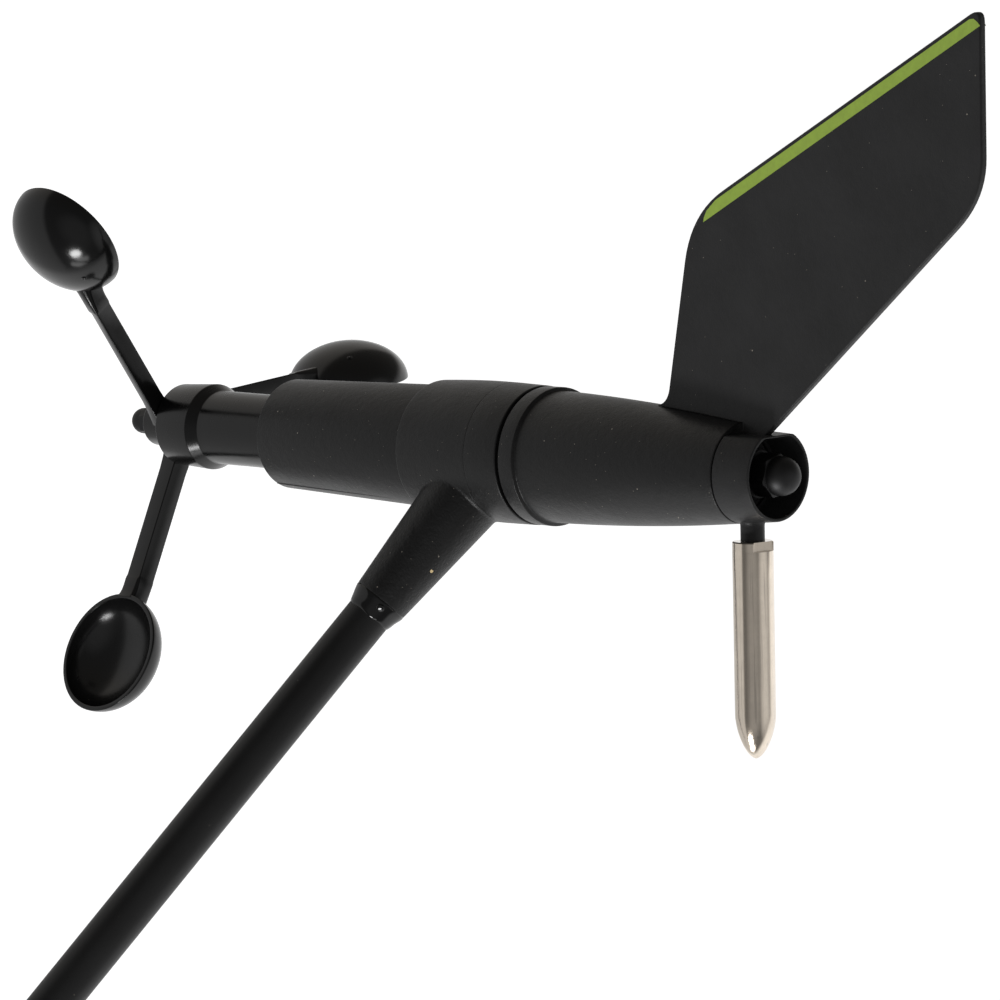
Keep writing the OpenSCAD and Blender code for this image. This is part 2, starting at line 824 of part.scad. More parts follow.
module cup_nut() {
  color("black") on_cup(0) translate([0, 0, collar_z - 1.05]) mirror([0, 0, 1])
    cap_nut(7.2, 3.4, 8.2, cup_bearing[0] + seat, 6.4);
}

upper_housing();
top_cap();
lower_housing();
housing_seal();
wand_tube();
wand_pin();
end_plug();
plug_seal();
connector_insert();
connector_contacts();
locking_nut();
bearing_post();
post_screws();
upper_vane_race();
lower_vane_race();
vane_bearing_balls();
cup_bearing_tube();
tube_screws();
upper_cup_race();
lower_cup_race();
cup_bearing_balls();
angle_board();
angle_sensor();
board_parts();
speed_board();
speed_sensor();
board_wires();
wand_cable();
vane_barrel();
vane_fin();
edge_stripe();
counterweight();
weight_stud();
vane_shaft();
vane_spacer();
upper_vane_bush();
lower_vane_bush();
vane_clip();
magnet_holder();
angle_magnet();
vane_washer();
vane_nut();
cup_hub();
cup_1();
cup_2();
cup_3();
cup_shaft();
cup_spacer();
upper_cup_bush();
lower_cup_bush();
speed_magnet();
cup_washer();
cup_nut();
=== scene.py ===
"""The looks of a masthead wind sensor: moulded black head and vane, glossy cup rotor, nickel counterweight.

Shapes are built in millimetres in the head's own frame, whose z axis is the rotor axis and whose origin
lies in the gap under the vane, and are then placed in the row frame, which is in metres.
"""

import json
import math

import bmesh
import bpy
from mathutils import Matrix, Vector, noise


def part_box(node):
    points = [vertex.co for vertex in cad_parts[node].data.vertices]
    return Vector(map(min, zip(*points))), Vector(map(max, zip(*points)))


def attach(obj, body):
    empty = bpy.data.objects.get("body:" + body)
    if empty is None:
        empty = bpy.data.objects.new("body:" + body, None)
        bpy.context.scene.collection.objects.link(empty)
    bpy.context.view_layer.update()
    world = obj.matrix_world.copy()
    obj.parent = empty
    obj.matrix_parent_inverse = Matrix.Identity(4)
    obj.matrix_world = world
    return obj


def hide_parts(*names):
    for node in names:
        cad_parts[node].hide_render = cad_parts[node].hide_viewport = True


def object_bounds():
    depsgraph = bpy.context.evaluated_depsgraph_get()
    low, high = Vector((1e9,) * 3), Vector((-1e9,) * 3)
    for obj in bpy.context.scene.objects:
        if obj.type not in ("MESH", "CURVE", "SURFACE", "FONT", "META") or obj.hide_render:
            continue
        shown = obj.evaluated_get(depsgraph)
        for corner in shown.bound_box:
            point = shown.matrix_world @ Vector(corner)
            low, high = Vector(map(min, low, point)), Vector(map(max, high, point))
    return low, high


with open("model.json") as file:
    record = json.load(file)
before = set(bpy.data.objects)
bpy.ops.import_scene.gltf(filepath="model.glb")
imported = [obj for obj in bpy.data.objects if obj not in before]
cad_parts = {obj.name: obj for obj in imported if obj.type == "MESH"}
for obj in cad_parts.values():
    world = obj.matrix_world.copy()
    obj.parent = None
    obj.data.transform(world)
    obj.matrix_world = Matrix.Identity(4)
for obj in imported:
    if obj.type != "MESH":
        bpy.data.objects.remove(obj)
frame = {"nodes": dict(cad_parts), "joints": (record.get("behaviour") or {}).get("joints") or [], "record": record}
bpy.context.view_layer.update()

MM = 0.001
FINE = 144      # facets round a large turned shape

# ---- the head's frame, read from the CAD frame ----

joints = {j["name"]: j for j in frame["joints"]}
BARREL_FOOT = 0.2       # height of the barrel's lower edge above the gap plane
rotor_axis = Vector(joints["vane_spin"]["pos_m"])
wand_axis = Vector(joints["locking_nut_turn"]["axis"])
gap_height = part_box("vane_barrel")[0].z - BARREL_FOOT * MM

VANE_HEADING = 216      # degrees round the rotor axis, where the fin points
CUPS_HEADING = 11       # and where the first cup's arm points
WAND_Z = -15.9          # where the wand's axis meets the rotor axis
WAND_REACH = 320        # from there to the end plug's shoulder

HEAD = Matrix.Translation((rotor_axis.x, rotor_axis.y, gap_height)) @ Matrix.Scale(MM, 4)
WAND_TILT = math.atan2(wand_axis.x, wand_axis.z)
WAND = HEAD @ Matrix.Translation((0, 0, WAND_Z)) @ Matrix.Rotation(WAND_TILT, 4, "Y")
PLUG = WAND @ Matrix.Translation((0, 0, WAND_REACH))
VANE = HEAD @ Matrix.Rotation(math.radians(VANE_HEADING), 4, "Z")


def cup_frame(i):
    """Frame whose x axis runs along the arm of cup i."""
    return HEAD @ Matrix.Rotation(math.radians(CUPS_HEADING + 120 * i), 4, "Z")


# ---- node helpers ----


class Nodes:
    """Adds nodes to a material or world and links them by name."""

    def __init__(self, tree):
        self.tree = tree

    def add(self, kind, inputs=None, **settings):
        node = self.tree.nodes.new(kind)
        for key, value in settings.items():
            setattr(node, key, value)
        for key, value in (inputs or {}).items():
            self.put(node, key, value)
        return node

    def put(self, node, key, value):
        if isinstance(value, bpy.types.NodeSocket):
            self.tree.links.new(value, node.inputs[key])
        else:
            node.inputs[key].default_value = value

    def math(self, operation, a, b=0.0, clamp=False):
        node = self.add("ShaderNodeMath", operation=operation, use_clamp=clamp)
        self.put(node, 0, a)
        self.put(node, 1, b)
        return node.outputs[0]

    def dot(self, a, b):
        return self.add("ShaderNodeVectorMath", {0: a, 1: b}, operation="DOT_PRODUCT").outputs["Value"]

    def mix(self, factor, a, b):
        node = self.add("ShaderNodeMix", data_type="RGBA")
        self.put(node, 0, factor)
        self.put(node, 6, a)
        self.put(node, 7, b)
        return node.outputs[2]

    def ramp(self, value, low, high, to_low=0.0, to_high=1.0):
        node = self.add("ShaderNodeMapRange")
        for key, item in enumerate((value, low, high, to_low, to_high)):
            self.put(node, key, item)
        return node.outputs[0]

    def noise(self, where, size, detail=3.0, rough=0.55):
        """Noise whose features are about `size` metres across."""
        inputs = {"Vector": where, "Scale": 1 / size, "Detail": detail, "Roughness": rough}
        return self.add("ShaderNodeTexNoise", inputs).outputs[0]

    def bump(self, height, depth, strength, normal=None):
        inputs = {"Height": height, "Distance": depth, "Strength": strength}
        if normal:
            inputs["Normal"] = normal
        return self.add("ShaderNodeBump", inputs).outputs[0]

    def specks(self, where, spacing, size, share):
        """1 inside sparse round specks of about `size` metres, found in a `share` of the cells, else 0."""
        cells = self.add("ShaderNodeTexVoronoi", {"Vector": where, "Scale": 1 / spacing, "Randomness": 1.0})
        draw = self.add("ShaderNodeSeparateColor", {"Color": cells.outputs["Color"]}).outputs[0]
        chosen = self.math("LESS_THAN", draw, share)
        inside = self.math("LESS_THAN", cells.outputs["Distance"], size / spacing / 2)
        return self.math("MULTIPLY", chosen, inside)


def new_material(name):
    """A material with a shader, and the object coordinates that its textures are laid out in."""
    material = bpy.data.materials.new(name)
    material.use_nodes = True
    tree = material.node_tree
    tree.nodes.clear()
    n = Nodes(tree)
    shader = n.add("ShaderNodeBsdfPrincipled")
    output = n.add("ShaderNodeOutputMaterial", {"Surface": shader.outputs[0]})
    output.location = (300, 0)
    where = n.add("ShaderNodeTexCoord").outputs["Object"]
    return material, n, shader, where


def grey(value):
    """A neutral colour, very slightly cool."""
    return (value, value, value * 1.02, 1)


DUST = (0.30, 0.27, 0.23, 1)


def moulded_plastic(name, colour, roughness, grain, depth, dust, specular=0.36):
    """Black plastic with a spark-eroded grain, cloudy flow marks and a little dust.

    `grain` and `depth` are the grain's size and depth in metres, and `dust` is the share of dusty cells.
    """
    material, n, shader, where = new_material(name)
    cloud = n.noise(where, 0.018, 4.0)
    fine = n.noise(where, grain, 2.0, 0.6)
    coarse = n.noise(where, grain * 5, 2.0)
    lighter = tuple(c * 1.35 for c in colour[:3]) + (1,)
    base = n.mix(n.ramp(cloud, 0.35, 0.7), colour, lighter)
    specks = n.specks(where, 0.0026, 0.00040, dust)
    lint = n.specks(where, 0.0010, 0.00018, dust)
    n.put(shader, "Base Color", n.mix(n.math("MAXIMUM", specks, lint), base, DUST))
    worn = n.ramp(cloud, 0.3, 0.75, roughness - 0.05, roughness + 0.06)
    n.put(shader, "Roughness", n.math("ADD", worn, n.ramp(fine, 0.3, 0.7, -0.04, 0.04)))
    n.put(shader, "Normal", n.bump(coarse, depth * 4, 0.6, n.bump(fine, depth * 1.7, 1.0)))
    shader.inputs["Specular IOR Level"].default_value = specular
    return material


def gloss_plastic(name, colour, roughness, specular=0.42):
    """Polished-mould plastic: nearly smooth, with faint sink ripples, hairline scratches and stray dust."""
    material, n, shader, where = new_material(name)
    ripple = n.noise(where, 0.006, 2.0)
    haze = n.noise(where, 0.012, 5.0)
    slanted = {"Vector": where, "Scale": (1, 1, 9), "Rotation": (0.5, 0.9, 0.3)}
    stretched = n.add("ShaderNodeMapping", slanted).outputs[0]
    scratch = n.ramp(n.noise(stretched, 0.0025, 4.0, 0.7), 0.60, 0.66)
    specks = n.specks(where, 0.0032, 0.0002, 0.05)
    n.put(shader, "Base Color", n.mix(specks, colour, DUST))
    hazy = n.ramp(haze, 0.35, 0.7, roughness, roughness + 0.09)
    n.put(shader, "Roughness", n.math("ADD", hazy, n.math("MULTIPLY", scratch, 0.04)))
    n.put(shader, "Normal", n.bump(ripple, 0.00006, 0.6, n.bump(scratch, 0.0000007, 0.4)))
    shader.inputs["Specular IOR Level"].default_value = specular
    return material


def turned_metal(
    name, colour, roughness, place, ring=0.00035, depth=0.0000015, haze=0.06, polish=0.0, drawn=0.0
):
    """Metal turned on a lathe about the z axis of `place`; `drawn` adds streaks that run along that axis."""
    material, n, shader, where = new_material(name)
    across_x, across_y, along = (n.dot(where, axis.normalized()) for axis in place.to_3x3().col)
    only_along = n.add("ShaderNodeCombineXYZ", {"X": along}).outputs[0]
    rings = n.noise(only_along, ring, 3.0, 0.7)
    drift = n.math("MULTIPLY", along, 0.02)
    lengthwise = n.add("ShaderNodeCombineXYZ", {"X": across_x, "Y": across_y, "Z": drift}).outputs[0]
    streaks = n.noise(lengthwise, 0.0007, 4.0, 0.7)
    cloud = n.noise(where, 0.004, 4.0)
    darker = tuple(c * 0.82 for c in colour[:3]) + (1,)
    dull = tuple(c * 0.55 for c in colour[:3]) + (1,)
    clouded = n.mix(n.ramp(cloud, 0.35, 0.75, 0, 0.7), colour, darker)
    n.put(shader, "Base Color", n.mix(n.ramp(streaks, 0.56, 0.70, 0, drawn), clouded, dull))
    hazy = n.ramp(cloud, 0.3, 0.7, roughness, roughness + haze)
    n.put(shader, "Roughness", n.math("ADD", hazy, n.ramp(rings, 0.3, 0.7, 0, 0.03)))
    handled = n.bump(cloud, 0.00002, 0.25)
    n.put(shader, "Normal", n.bump(rings, depth, 0.7, n.bump(streaks, 0.00001, drawn, handled)))
    shader.inputs["Metallic"].default_value = 1.0
    shader.inputs["Coat Weight"].default_value = polish
    shader.inputs["Coat Roughness"].default_value = 0.06
    shader.inputs["Coat IOR"].default_value = 2.0
    return material


def rubber(name, colour):
    """Matt rubber with a pale bloom."""
    material, n, shader, where = new_material(name)
    bloom = n.noise(where, 0.003, 5.0)
    n.put(shader, "Base Color", n.mix(n.ramp(bloom, 0.4, 0.75, 0, 0.5), colour, grey(0.05)))
    n.put(shader, "Roughness", n.ramp(bloom, 0.3, 0.7, 0.55, 0.8))
    n.put(shader, "Normal", n.bump(n.noise(where, 0.0003), 0.00002, 0.6))
    return material


def printed_film(name, colour):
    """Green foil on the fin: slightly mottled ink over the fin's own texture."""
    material, n, shader, where = new_material(name)
    ink = n.noise(where, 0.0015, 4.0)
    lighter = tuple(min(1, c * 1.14) for c in colour[:3]) + (1,)
    n.put(shader, "Base Color", n.mix(n.ramp(ink, 0.3, 0.7), colour, lighter))
    n.put(shader, "Roughness", n.ramp(ink, 0.3, 0.7, 0.38, 0.5))
    n.put(shader, "Normal", n.bump(n.noise(where, 0.0002), 0.000006, 0.5))
    return material


def circuit_board(name):
    """Solder mask with darker tracks and tinned pads."""
    material, n, shader, where = new_material(name)
    tracks = n.add("ShaderNodeTexVoronoi", {"Vector": where, "Scale": 700.0}, feature="DISTANCE_TO_EDGE")
    track = n.ramp(tracks.outputs["Distance"], 0.04, 0.08)
    pads = n.specks(where, 0.0016, 0.0007, 0.35)
    mask = n.mix(track, (0.015, 0.10, 0.03, 1), (0.03, 0.20, 0.07, 1))
    n.put(shader, "Base Color", n.mix(pads, mask, (0.6, 0.58, 0.52, 1)))
    n.put(shader, "Metallic", pads)
    n.put(shader, "Roughness", n.ramp(n.noise(where, 0.002), 0.3, 0.7, 0.28, 0.4))
    n.put(shader, "Normal", n.bump(track, 0.00003, 0.5))
    return material


BLACK = grey(0.0068)
M = {
    "housing": moulded_plastic("housing_black", BLACK, 0.41, grain=0.00042, depth=0.00004, dust=0.11),
    "boss": moulded_plastic("boss_black", BLACK, 0.41, grain=0.00055, depth=0.00009, dust=0.14),
    # the vane's black has a lighter base colour than the housing's: painted light that lifts the shade in the
    # ring's recess, with the specular lowered to keep the fin's tone
    "vane_black": moulded_plastic(
        "vane_black", grey(0.025), 0.42, grain=0.00045, depth=0.00004, dust=0.05, specular=0.20
    ),
    "rotor_black": gloss_plastic("rotor_black", grey(0.0060), 0.13),
    "sleeve_black": gloss_plastic("sleeve_black", grey(0.0060), 0.19),
    # the bowls' insides: the same plastic with a rougher gloss, and a doubled base colour as painted bounce light
    "cup_inside": gloss_plastic("cup_inside_black_painted_bounce", grey(0.0120), 0.17, specular=0.55),
    "stripe": printed_film("stripe_green", (0.37, 0.54, 0.066, 1)),
    "tube": moulded_plastic("wand_black", grey(0.0065), 0.40, grain=0.0002, depth=0.000008, dust=0.02),
    "grip": moulded_plastic("grip_black", BLACK, 0.48, grain=0.0003, depth=0.00002, dust=0.03),
    "adhesive": gloss_plastic("adhesive_black", grey(0.006), 0.05),
    "nickel": turned_metal(
        "nickel", (0.90, 0.78, 0.64, 1), 0.15, VANE @ Matrix.Rotation(math.radians(-90), 4, "Y"),
        haze=0.05, polish=1.0, drawn=0.8,
    ),
    "dark_nut": turned_metal("dark_nut", grey(0.05), 0.46, HEAD, haze=0.08),
    "steel": turned_metal("steel", grey(0.55), 0.25, HEAD),
    "aluminium": turned_metal("aluminium", grey(0.70), 0.3, HEAD),
    "ball_steel": turned_metal("ball_steel", grey(0.75), 0.06, HEAD),
    "magnet": turned_metal("magnet", grey(0.5), 0.2, HEAD),
    "brass": turned_metal("brass", (0.80, 0.62, 0.34, 1), 0.2, PLUG),
    "seal": rubber("seal_rubber", grey(0.012)),
    "cable": rubber("cable_sheath", grey(0.016)),
    "board": circuit_board("board_green"),
    "chip": moulded_plastic("chip_black", grey(0.02), 0.6, grain=0.0001, depth=0.00001, dust=0.0),
    "ceramic": moulded_plastic(
        "ceramic_ivory", (0.6, 0.56, 0.44, 1), 0.5, grain=0.0001, depth=0.000006, dust=0.0
    ),
    "wire": gloss_plastic("wire_red", (0.4, 0.01, 0.008, 1), 0.3),
    "insert": moulded_plastic("insert_grey", grey(0.05), 0.5, grain=0.0002, depth=0.00001, dust=0.02),
}

# ---- shape helpers ----


def soften(points, n=5):
    """Rounds each corner that is given as (x, y, radius) in a closed outline."""
    out = []
    for i, p in enumerate(points):
        if len(p) < 3:
            out.append((p[0], p[1]))
            continue
        here = Vector(p[:2])
        before = (Vector(points[i - 1][:2]) - here).normalized()
        after = (Vector(points[(i + 1) % len(points)][:2]) - here).normalized()
        half = math.acos(max(-1, min(1, before.dot(after)))) / 2
        reach = p[2] / math.tan(half)
        centre = here + (before + after).normalized() * p[2] / math.sin(half)
        a, b = here + before * reach - centre, here + after * reach - centre
        turn = math.atan2(a.x * b.y - a.y * b.x, a.dot(b))
        for k in range(n + 1):
            spun = Matrix.Rotation(turn * k / n, 2) @ a
            out.append(tuple(centre + spun))
    return out


def mesh_object(name, verts, faces, place, material, sharp=40):
    """A mesh object with vertices given in the frame `place`, smooth up to edges of `sharp` degrees."""
    mesh = bpy.data.meshes.new(name)
    mesh.from_pydata([place @ Vector(v) for v in verts], [], faces)
    bm = bmesh.new()
    bm.from_mesh(mesh)
    bmesh.ops.remove_doubles(bm, verts=bm.verts, dist=1e-8)
    bmesh.ops.recalc_face_normals(bm, faces=bm.faces)
    bmesh.ops.triangulate(bm, faces=[f for f in bm.faces if len(f.verts) > 4])
    bm.to_mesh(mesh)
    bm.free()
    mesh.shade_smooth()
    mesh.set_sharp_from_angle(angle=math.radians(sharp))
    mesh.materials.append(material)
    obj = bpy.data.objects.new(name, mesh)
    bpy.context.scene.collection.objects.link(obj)
    return obj


def quarter_turn(n):
    """Angles from 0 to 90 degrees in n steps, in radians."""
    return [math.pi / 2 * k / n for k in range(n + 1)]


def even_angles(n, extra=()):
    """n angles round the circle, plus some exact ones, in radians."""
    step = 360 / n
    extra = [a % 360 for a in extra]
    plain = [i * step for i in range(n) if all(abs(i * step - a) > step * 0.3 for a in extra)]
    return [math.radians(a) for a in sorted(plain + extra)]


def turned(name, outline, place, material, angles=None, sharp=40):
    """A closed solid turned about z.

    An outline point is (radius, height), and either may be a function of the angle.
    """
    angles = angles or even_angles(FINE)
    rows, verts, faces = [], [], []
    for radius, height in outline:
        if radius == 0:
            rows.append([len(verts)] * len(angles))
            verts.append((0, 0, height))
            continue
        rows.append(range(len(verts), len(verts) + len(angles)))
        for a in angles:
            r = radius(a) if callable(radius) else radius
            z = height(a) if callable(height) else height
            verts.append((r * math.cos(a), r * math.sin(a), z))
    for row, above in zip(rows, rows[1:] + rows[:1]):
        for k in range(len(angles)):
            m = (k + 1) % len(angles)
            corners = [row[k], row[m], above[m], above[k]]
            face = [c for i, c in enumerate(corners) if c != corners[i - 1]]
            if len(face) > 2:
                faces.append(face)
    return mesh_object(name, verts, faces, place, material, sharp)


def loft(name, sections, place, material, sharp=40, closed=False):
    """A solid skinned over closed sections with equal numbers of points, capped unless it is a loop."""
    count = len(sections[0])
    verts = [p for section in sections for p in section]
    faces = []
    spans = len(sections) if closed else len(sections) - 1
    for s in range(spans):
        a, b = s * count, (s + 1) % len(sections) * count
        faces += [(a + k, a + (k + 1) % count, b + (k + 1) % count, b + k) for k in range(count)]
    if not closed:
        faces += [tuple(range(count)), tuple(range(len(verts) - count, len(verts)))]
    return mesh_object(name, verts, faces, place, material, sharp)


def plate(name, outline, thickness, edge, place, material):
    """A flat plate in the x-z plane of `place`; `edge` gives the radius of its rim at an outline point."""
    points = [Vector(p) for p in outline]
    outward = []
    for i, p in enumerate(points):
        a = (p - points[i - 1]).normalized()
        b = (points[(i + 1) % len(points)] - p).normalized()
        out = Vector((a.y + b.y, -a.x - b.x)).normalized()
        outward.append(out / max(0.5, out.dot(Vector((a.y, -a.x)))))
    turns = quarter_turn(5)
    sections = []
    for side, order in ((-1, turns), (1, turns[::-1])):
        for turn in order:
            section = []
            for p, out in zip(points, outward):
                r = edge(p)
                inset = p - out * r * (1 - math.sin(turn))
                section.append((inset.x, side * (thickness / 2 - r + r * math.cos(turn)), inset.y))
            sections.append(section)
    obj = loft(name, sections, place, material, sharp=60)
    flatten_shading(obj)
    return obj


def flatten_shading(obj):
    """Keeps large flat faces flat beside small rounded ones."""
    weigh = obj.modifiers.new("weighted_normals", "WEIGHTED_NORMAL")
    weigh.keep_sharp = True
    weigh.weight = 80


def put(obj, body, slot_name, *replaced):
    """Fixes a piece to its body; it takes the place of the CAD nodes named in `replaced`. `slot_name` is not used.
    """
    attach(obj, body)
    if replaced:
        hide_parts(*replaced)
    return obj


# ---- sizes shared by the shapes, in millimetres: Z and TOP are heights, R is a radius ----

SHELL_R, HEAD_R = 18.3, 18.1        # the upper housing at its widest, and the cap's top edge
STRAIGHT_TO = -18                   # the upper housing is straight down to here and curves in below
CAP_TOP, CAP_Z = -0.8, -11.86
UPPER_Z, UPPER_R, BORE_R = -37.4, 17.55, 16.0
LOWER_TOP, LOWER_Z, LOWER_R, SKIRT_R = -38.0, -92.8, 16.2, 14.6
BOSS_START, BOSS_END, BOSS_TIP = 14, 49.3, 54       # along the wand, from the rotor axis
BOSS_R0, BOSS_R1 = 10.4, 7.5
WAND_R = 6.0
RING_Z, RING_TOP, RING_R0, RING_R1 = 69.9, 81.0, 12.75, 11.65
RECESS_R, RECESS_Z = 10.75, 69.0
FLAT_AT = 10.1          # distance of the ring's flat from the rotor axis
FLAT_WALL = 0.5         # the ring's wall behind its flat
SEAT_R, SEAT_Z, SPIGOT_R, SPIGOT_Z = 6.5, 73.5, 9.8, 62.04
VANE_SHAFT_BORE = 3.05
PARTING_HEADING = 5     # where the lower housing's parting line runs down its side
BARREL_Z, BARREL_TOP, BARREL_R0, BARREL_R1, BARREL_BULGE = 5.7, 69.6, 17.05, 12.8, 0.75


def barrel_radius(z):
    """Outside radius of the vane's barrel: a taper with a slight bulge."""
    t = (z - BARREL_Z) / (BARREL_TOP - BARREL_Z)
    return BARREL_R0 + (BARREL_R1 - BARREL_R0) * t + 4 * BARREL_BULGE * t * (1 - t)


# ---- the head ----


def make_top_cap():
    """The ring that closes the upper housing under the vane."""
    outline = soften([
        (9.54, -3.8), (BORE_R - 1.6, -3.8), (BORE_R - 1.6, CAP_Z - 4), (BORE_R - 0.04, CAP_Z - 4),
        (BORE_R - 0.04, CAP_Z + 0.04), (SHELL_R - 0.02, CAP_Z + 0.04, 0.05), (SHELL_R, CAP_Z + 0.6),
        (HEAD_R, CAP_TOP, 0.35), (11.5, CAP_TOP), (11.5, 4, 0.3), (9.54, 4),
    ])
    put(turned("top_cap_shell", outline, HEAD, M["housing"]), "head", "housing", "top_cap")


def boss_radius(s):
    """Outside radius of the boss at the distance s along the wand."""
    return BOSS_R0 + (BOSS_R1 - BOSS_R0) * (s - BOSS_START) / (BOSS_END - BOSS_START)


def shell_radius(z):
    """Outside radius of the upper housing."""
    if z > STRAIGHT_TO:
        return SHELL_R
    return SHELL_R - (SHELL_R - UPPER_R) * ((STRAIGHT_TO - z) / (STRAIGHT_TO - UPPER_Z)) ** 1.6


def make_upper_housing():
    """The shell under the top cap, which carries the boss."""
    steps = [CAP_Z - 0.5 - (CAP_Z - 0.5 - UPPER_Z - 0.6) * i / 16 for i in range(17)]
    side = [(shell_radius(z), z) for z in steps]
    outline = soften([
        (BORE_R, UPPER_Z), (UPPER_R - 0.05, UPPER_Z, 0.35), *reversed(side),
        (SHELL_R - 0.01, CAP_Z, 0.05), (BORE_R, CAP_Z),
    ])
    shell = turned("upper_housing_shell", outline, HEAD, M["housing"])
    put(shell, "head", "housing", "upper_housing")


def make_boss():
    """The tapered socket that carries the wand, from inside the housing to its rounded end."""
    outline = soften([
        (WAND_R + 0.05, BOSS_START), (BOSS_R0, BOSS_START), (BOSS_R1, BOSS_END, 1.5),
        (6.4, BOSS_TIP - 0.4), (WAND_R + 0.05, BOSS_TIP - 0.4),
    ], n=8)
    put(turned("wand_boss", outline, WAND, M["boss"]), "head", "housing")


def make_boss_fillet():
    """The rounded inside corner between boss and housing: the path of a ball rolled round the joint."""
    ball = 1.3
    lean = math.atan((BOSS_R0 - BOSS_R1) / (BOSS_END - BOSS_START))
    turn = Matrix.Rotation(WAND_TILT, 3, "Y")
    sections = []
    for a in even_angles(120):
        outward = Vector((math.cos(a), math.sin(a), 0))
        cone_normal = outward * math.cos(lean) + Vector((0, 0, math.sin(lean)))

        def centre(s):
            local = outward * boss_radius(s) + Vector((0, 0, s)) + cone_normal * ball
            return turn @ local + Vector((0, 0, WAND_Z))

        # halve the range until the ball at that height along the boss just touches the housing
        low, high = 8.0, 40.0
        for _ in range(40):
            middle = (low + high) / 2
            c = centre(middle)
            if math.hypot(c.x, c.y) < shell_radius(c.z) + ball:
                low = middle
            else:
                high = middle
        c = centre(low)
        to_shell = Vector((-c.x, -c.y, 0)).normalized()
        to_boss = -(turn @ cone_normal)
        ring = [c + to_shell.slerp(to_boss, k / 8) * ball for k in range(9)]
        buried_corner = c + (to_shell + to_boss).normalized() * (ball * 1.9)
        ring.append(buried_corner)
        sections.append(ring)
    put(loft("boss_fillet", sections, HEAD, M["boss"], closed=True), "head", "housing")


def make_adhesive():
    """The glossy, slightly uneven collar of adhesive that covers the socket's end and meets the wand."""

    def uneven(base, swing, seed):
        return lambda a: base + swing * noise.noise(Vector((math.cos(a) * 1.7, math.sin(a) * 1.7, seed)))

    outline = [
        (WAND_R - 0.02, BOSS_TIP - 0.5), (6.3, BOSS_TIP - 0.6), (BOSS_R1 - 0.4, BOSS_END + 0.2),
        (BOSS_R1 - 0.03, uneven(BOSS_END + 0.35, 0.2, 1)), (BOSS_R1 + 0.01, uneven(BOSS_END + 0.75, 0.2, 1)),
        (uneven(7.34, 0.1, 2), BOSS_END + 1.4), (uneven(7.02, 0.16, 3), BOSS_END + 2.3),
        (uneven(6.76, 0.16, 4), BOSS_END + 3.2), (uneven(6.55, 0.12, 5), BOSS_END + 4.1),
        (uneven(6.36, 0.08, 6), uneven(BOSS_TIP + 0.1, 0.25, 7)),
        (uneven(6.2, 0.06, 8), uneven(BOSS_TIP + 0.55, 0.4, 7)),
        (WAND_R - 0.02, uneven(BOSS_TIP + 0.75, 0.45, 7)),
    ]
    put(turned("adhesive_collar", outline, WAND, M["adhesive"], sharp=70), "head", "seal")
    # one flattened drop stands proud of the collar on its upper side
    wide, lean = 1.15, math.radians(33)
    upper_side = WAND @ Matrix.Rotation(math.radians(210), 4, "Z")
    spot = upper_side @ Matrix.Translation((7.2, 0, BOSS_END + 2.4))
    spot = spot @ Matrix.Rotation(math.radians(90) - lean, 4, "Y")
    outline = [
        (0, -1.1), (wide, -1.1), (wide, -0.3), (wide - 0.08, -0.1), (wide - 0.25, 0.02), (wide - 0.5, 0.08),
        (0, 0.13),
    ]
    drop = turned("adhesive_drop", outline, spot, M["adhesive"], even_angles(48), sharp=70)
    put(drop, "head", "seal")


def make_lower_housing():
    """The lower shell with its open skirt."""
    taper = (LOWER_R - SKIRT_R) / (LOWER_TOP - LOWER_Z)
    outline = soften([
        (7.44, -50), (SKIRT_R - 1.3, -50, 0.6), (SKIRT_R - 1.9, LOWER_Z + 1), (SKIRT_R - 1.7, LOWER_Z, 0.15),
        (SKIRT_R, LOWER_Z, 0.35), (LOWER_R, LOWER_TOP, 0.25), (BORE_R - 0.04, LOWER_TOP),
        (BORE_R - 0.04, -33), (14, -33), (14, -42.6), (13, -42.6), (13, -46), (7.44, -46),
    ])
    put(turned("lower_housing_shell", outline, HEAD, M["housing"]), "head", "housing", "lower_housing")
    # the mould's parting line shows as a fine ridge on one side, dying out towards the seam
    wide, steps = 0.16, 24
    sections = []
    for i in range(steps + 1):
        z = LOWER_Z + 0.4 + i * 1.9
        r = SKIRT_R + taper * (z - LOWER_Z)
        high = 0.16 * (1 - i / steps) ** 0.6 + 0.01
        foot, flank = r - 0.1, r + high * 0.7
        across = [(foot, -wide), (flank, -wide * 0.4), (r + high, 0), (flank, wide * 0.4), (foot, wide)]
        sections.append([(x, y, z) for x, y in across])
    place = HEAD @ Matrix.Rotation(math.radians(PARTING_HEADING), 4, "Z")
    put(loft("parting_ridge", sections, place, M["housing"]), "head", "housing")


# ---- the vane ----


def make_barrel():
    """The vane's tapered shell with a raised band at its foot."""
    wall = 2
    steps = [BARREL_Z + 0.6 + (BARREL_TOP - BARREL_Z - 1.2) * i / 40 for i in range(41)]
    side = [(barrel_radius(z), z) for z in steps]
    inside = [(r - wall, z) for r, z in side[:36]]
    outline = soften([
        (BARREL_R0 - wall, BARREL_FOOT), (17.95, BARREL_FOOT, 0.3), (18.0, 5.15, 0.35),
        (BARREL_R0 + 0.02, BARREL_Z - 0.2, 0.35), *side, (BARREL_R1 - 0.02, BARREL_TOP, 0.3),
        (SPIGOT_R + 0.04, BARREL_TOP), (SPIGOT_R + 0.04, inside[-1][1]), *reversed(inside),
    ])
    put(turned("vane_barrel_shell", outline, VANE, M["housing"]), "vane", "housing", "vane_barrel")


def soft_min(a, b, k=0.35):
    """The smaller of two lengths, blended near where they are equal."""
    h = max(k - abs(a - b), 0.0) / k
    return min(a, b) - h * h * k / 4


def with_flat(radius, flat):
    """Radius of a circle cut by a flat at distance `flat` along angle 0."""

    def at(a):
        c = math.cos(a)
        return soft_min(radius, flat / c) if c > 0.2 else radius

    return at


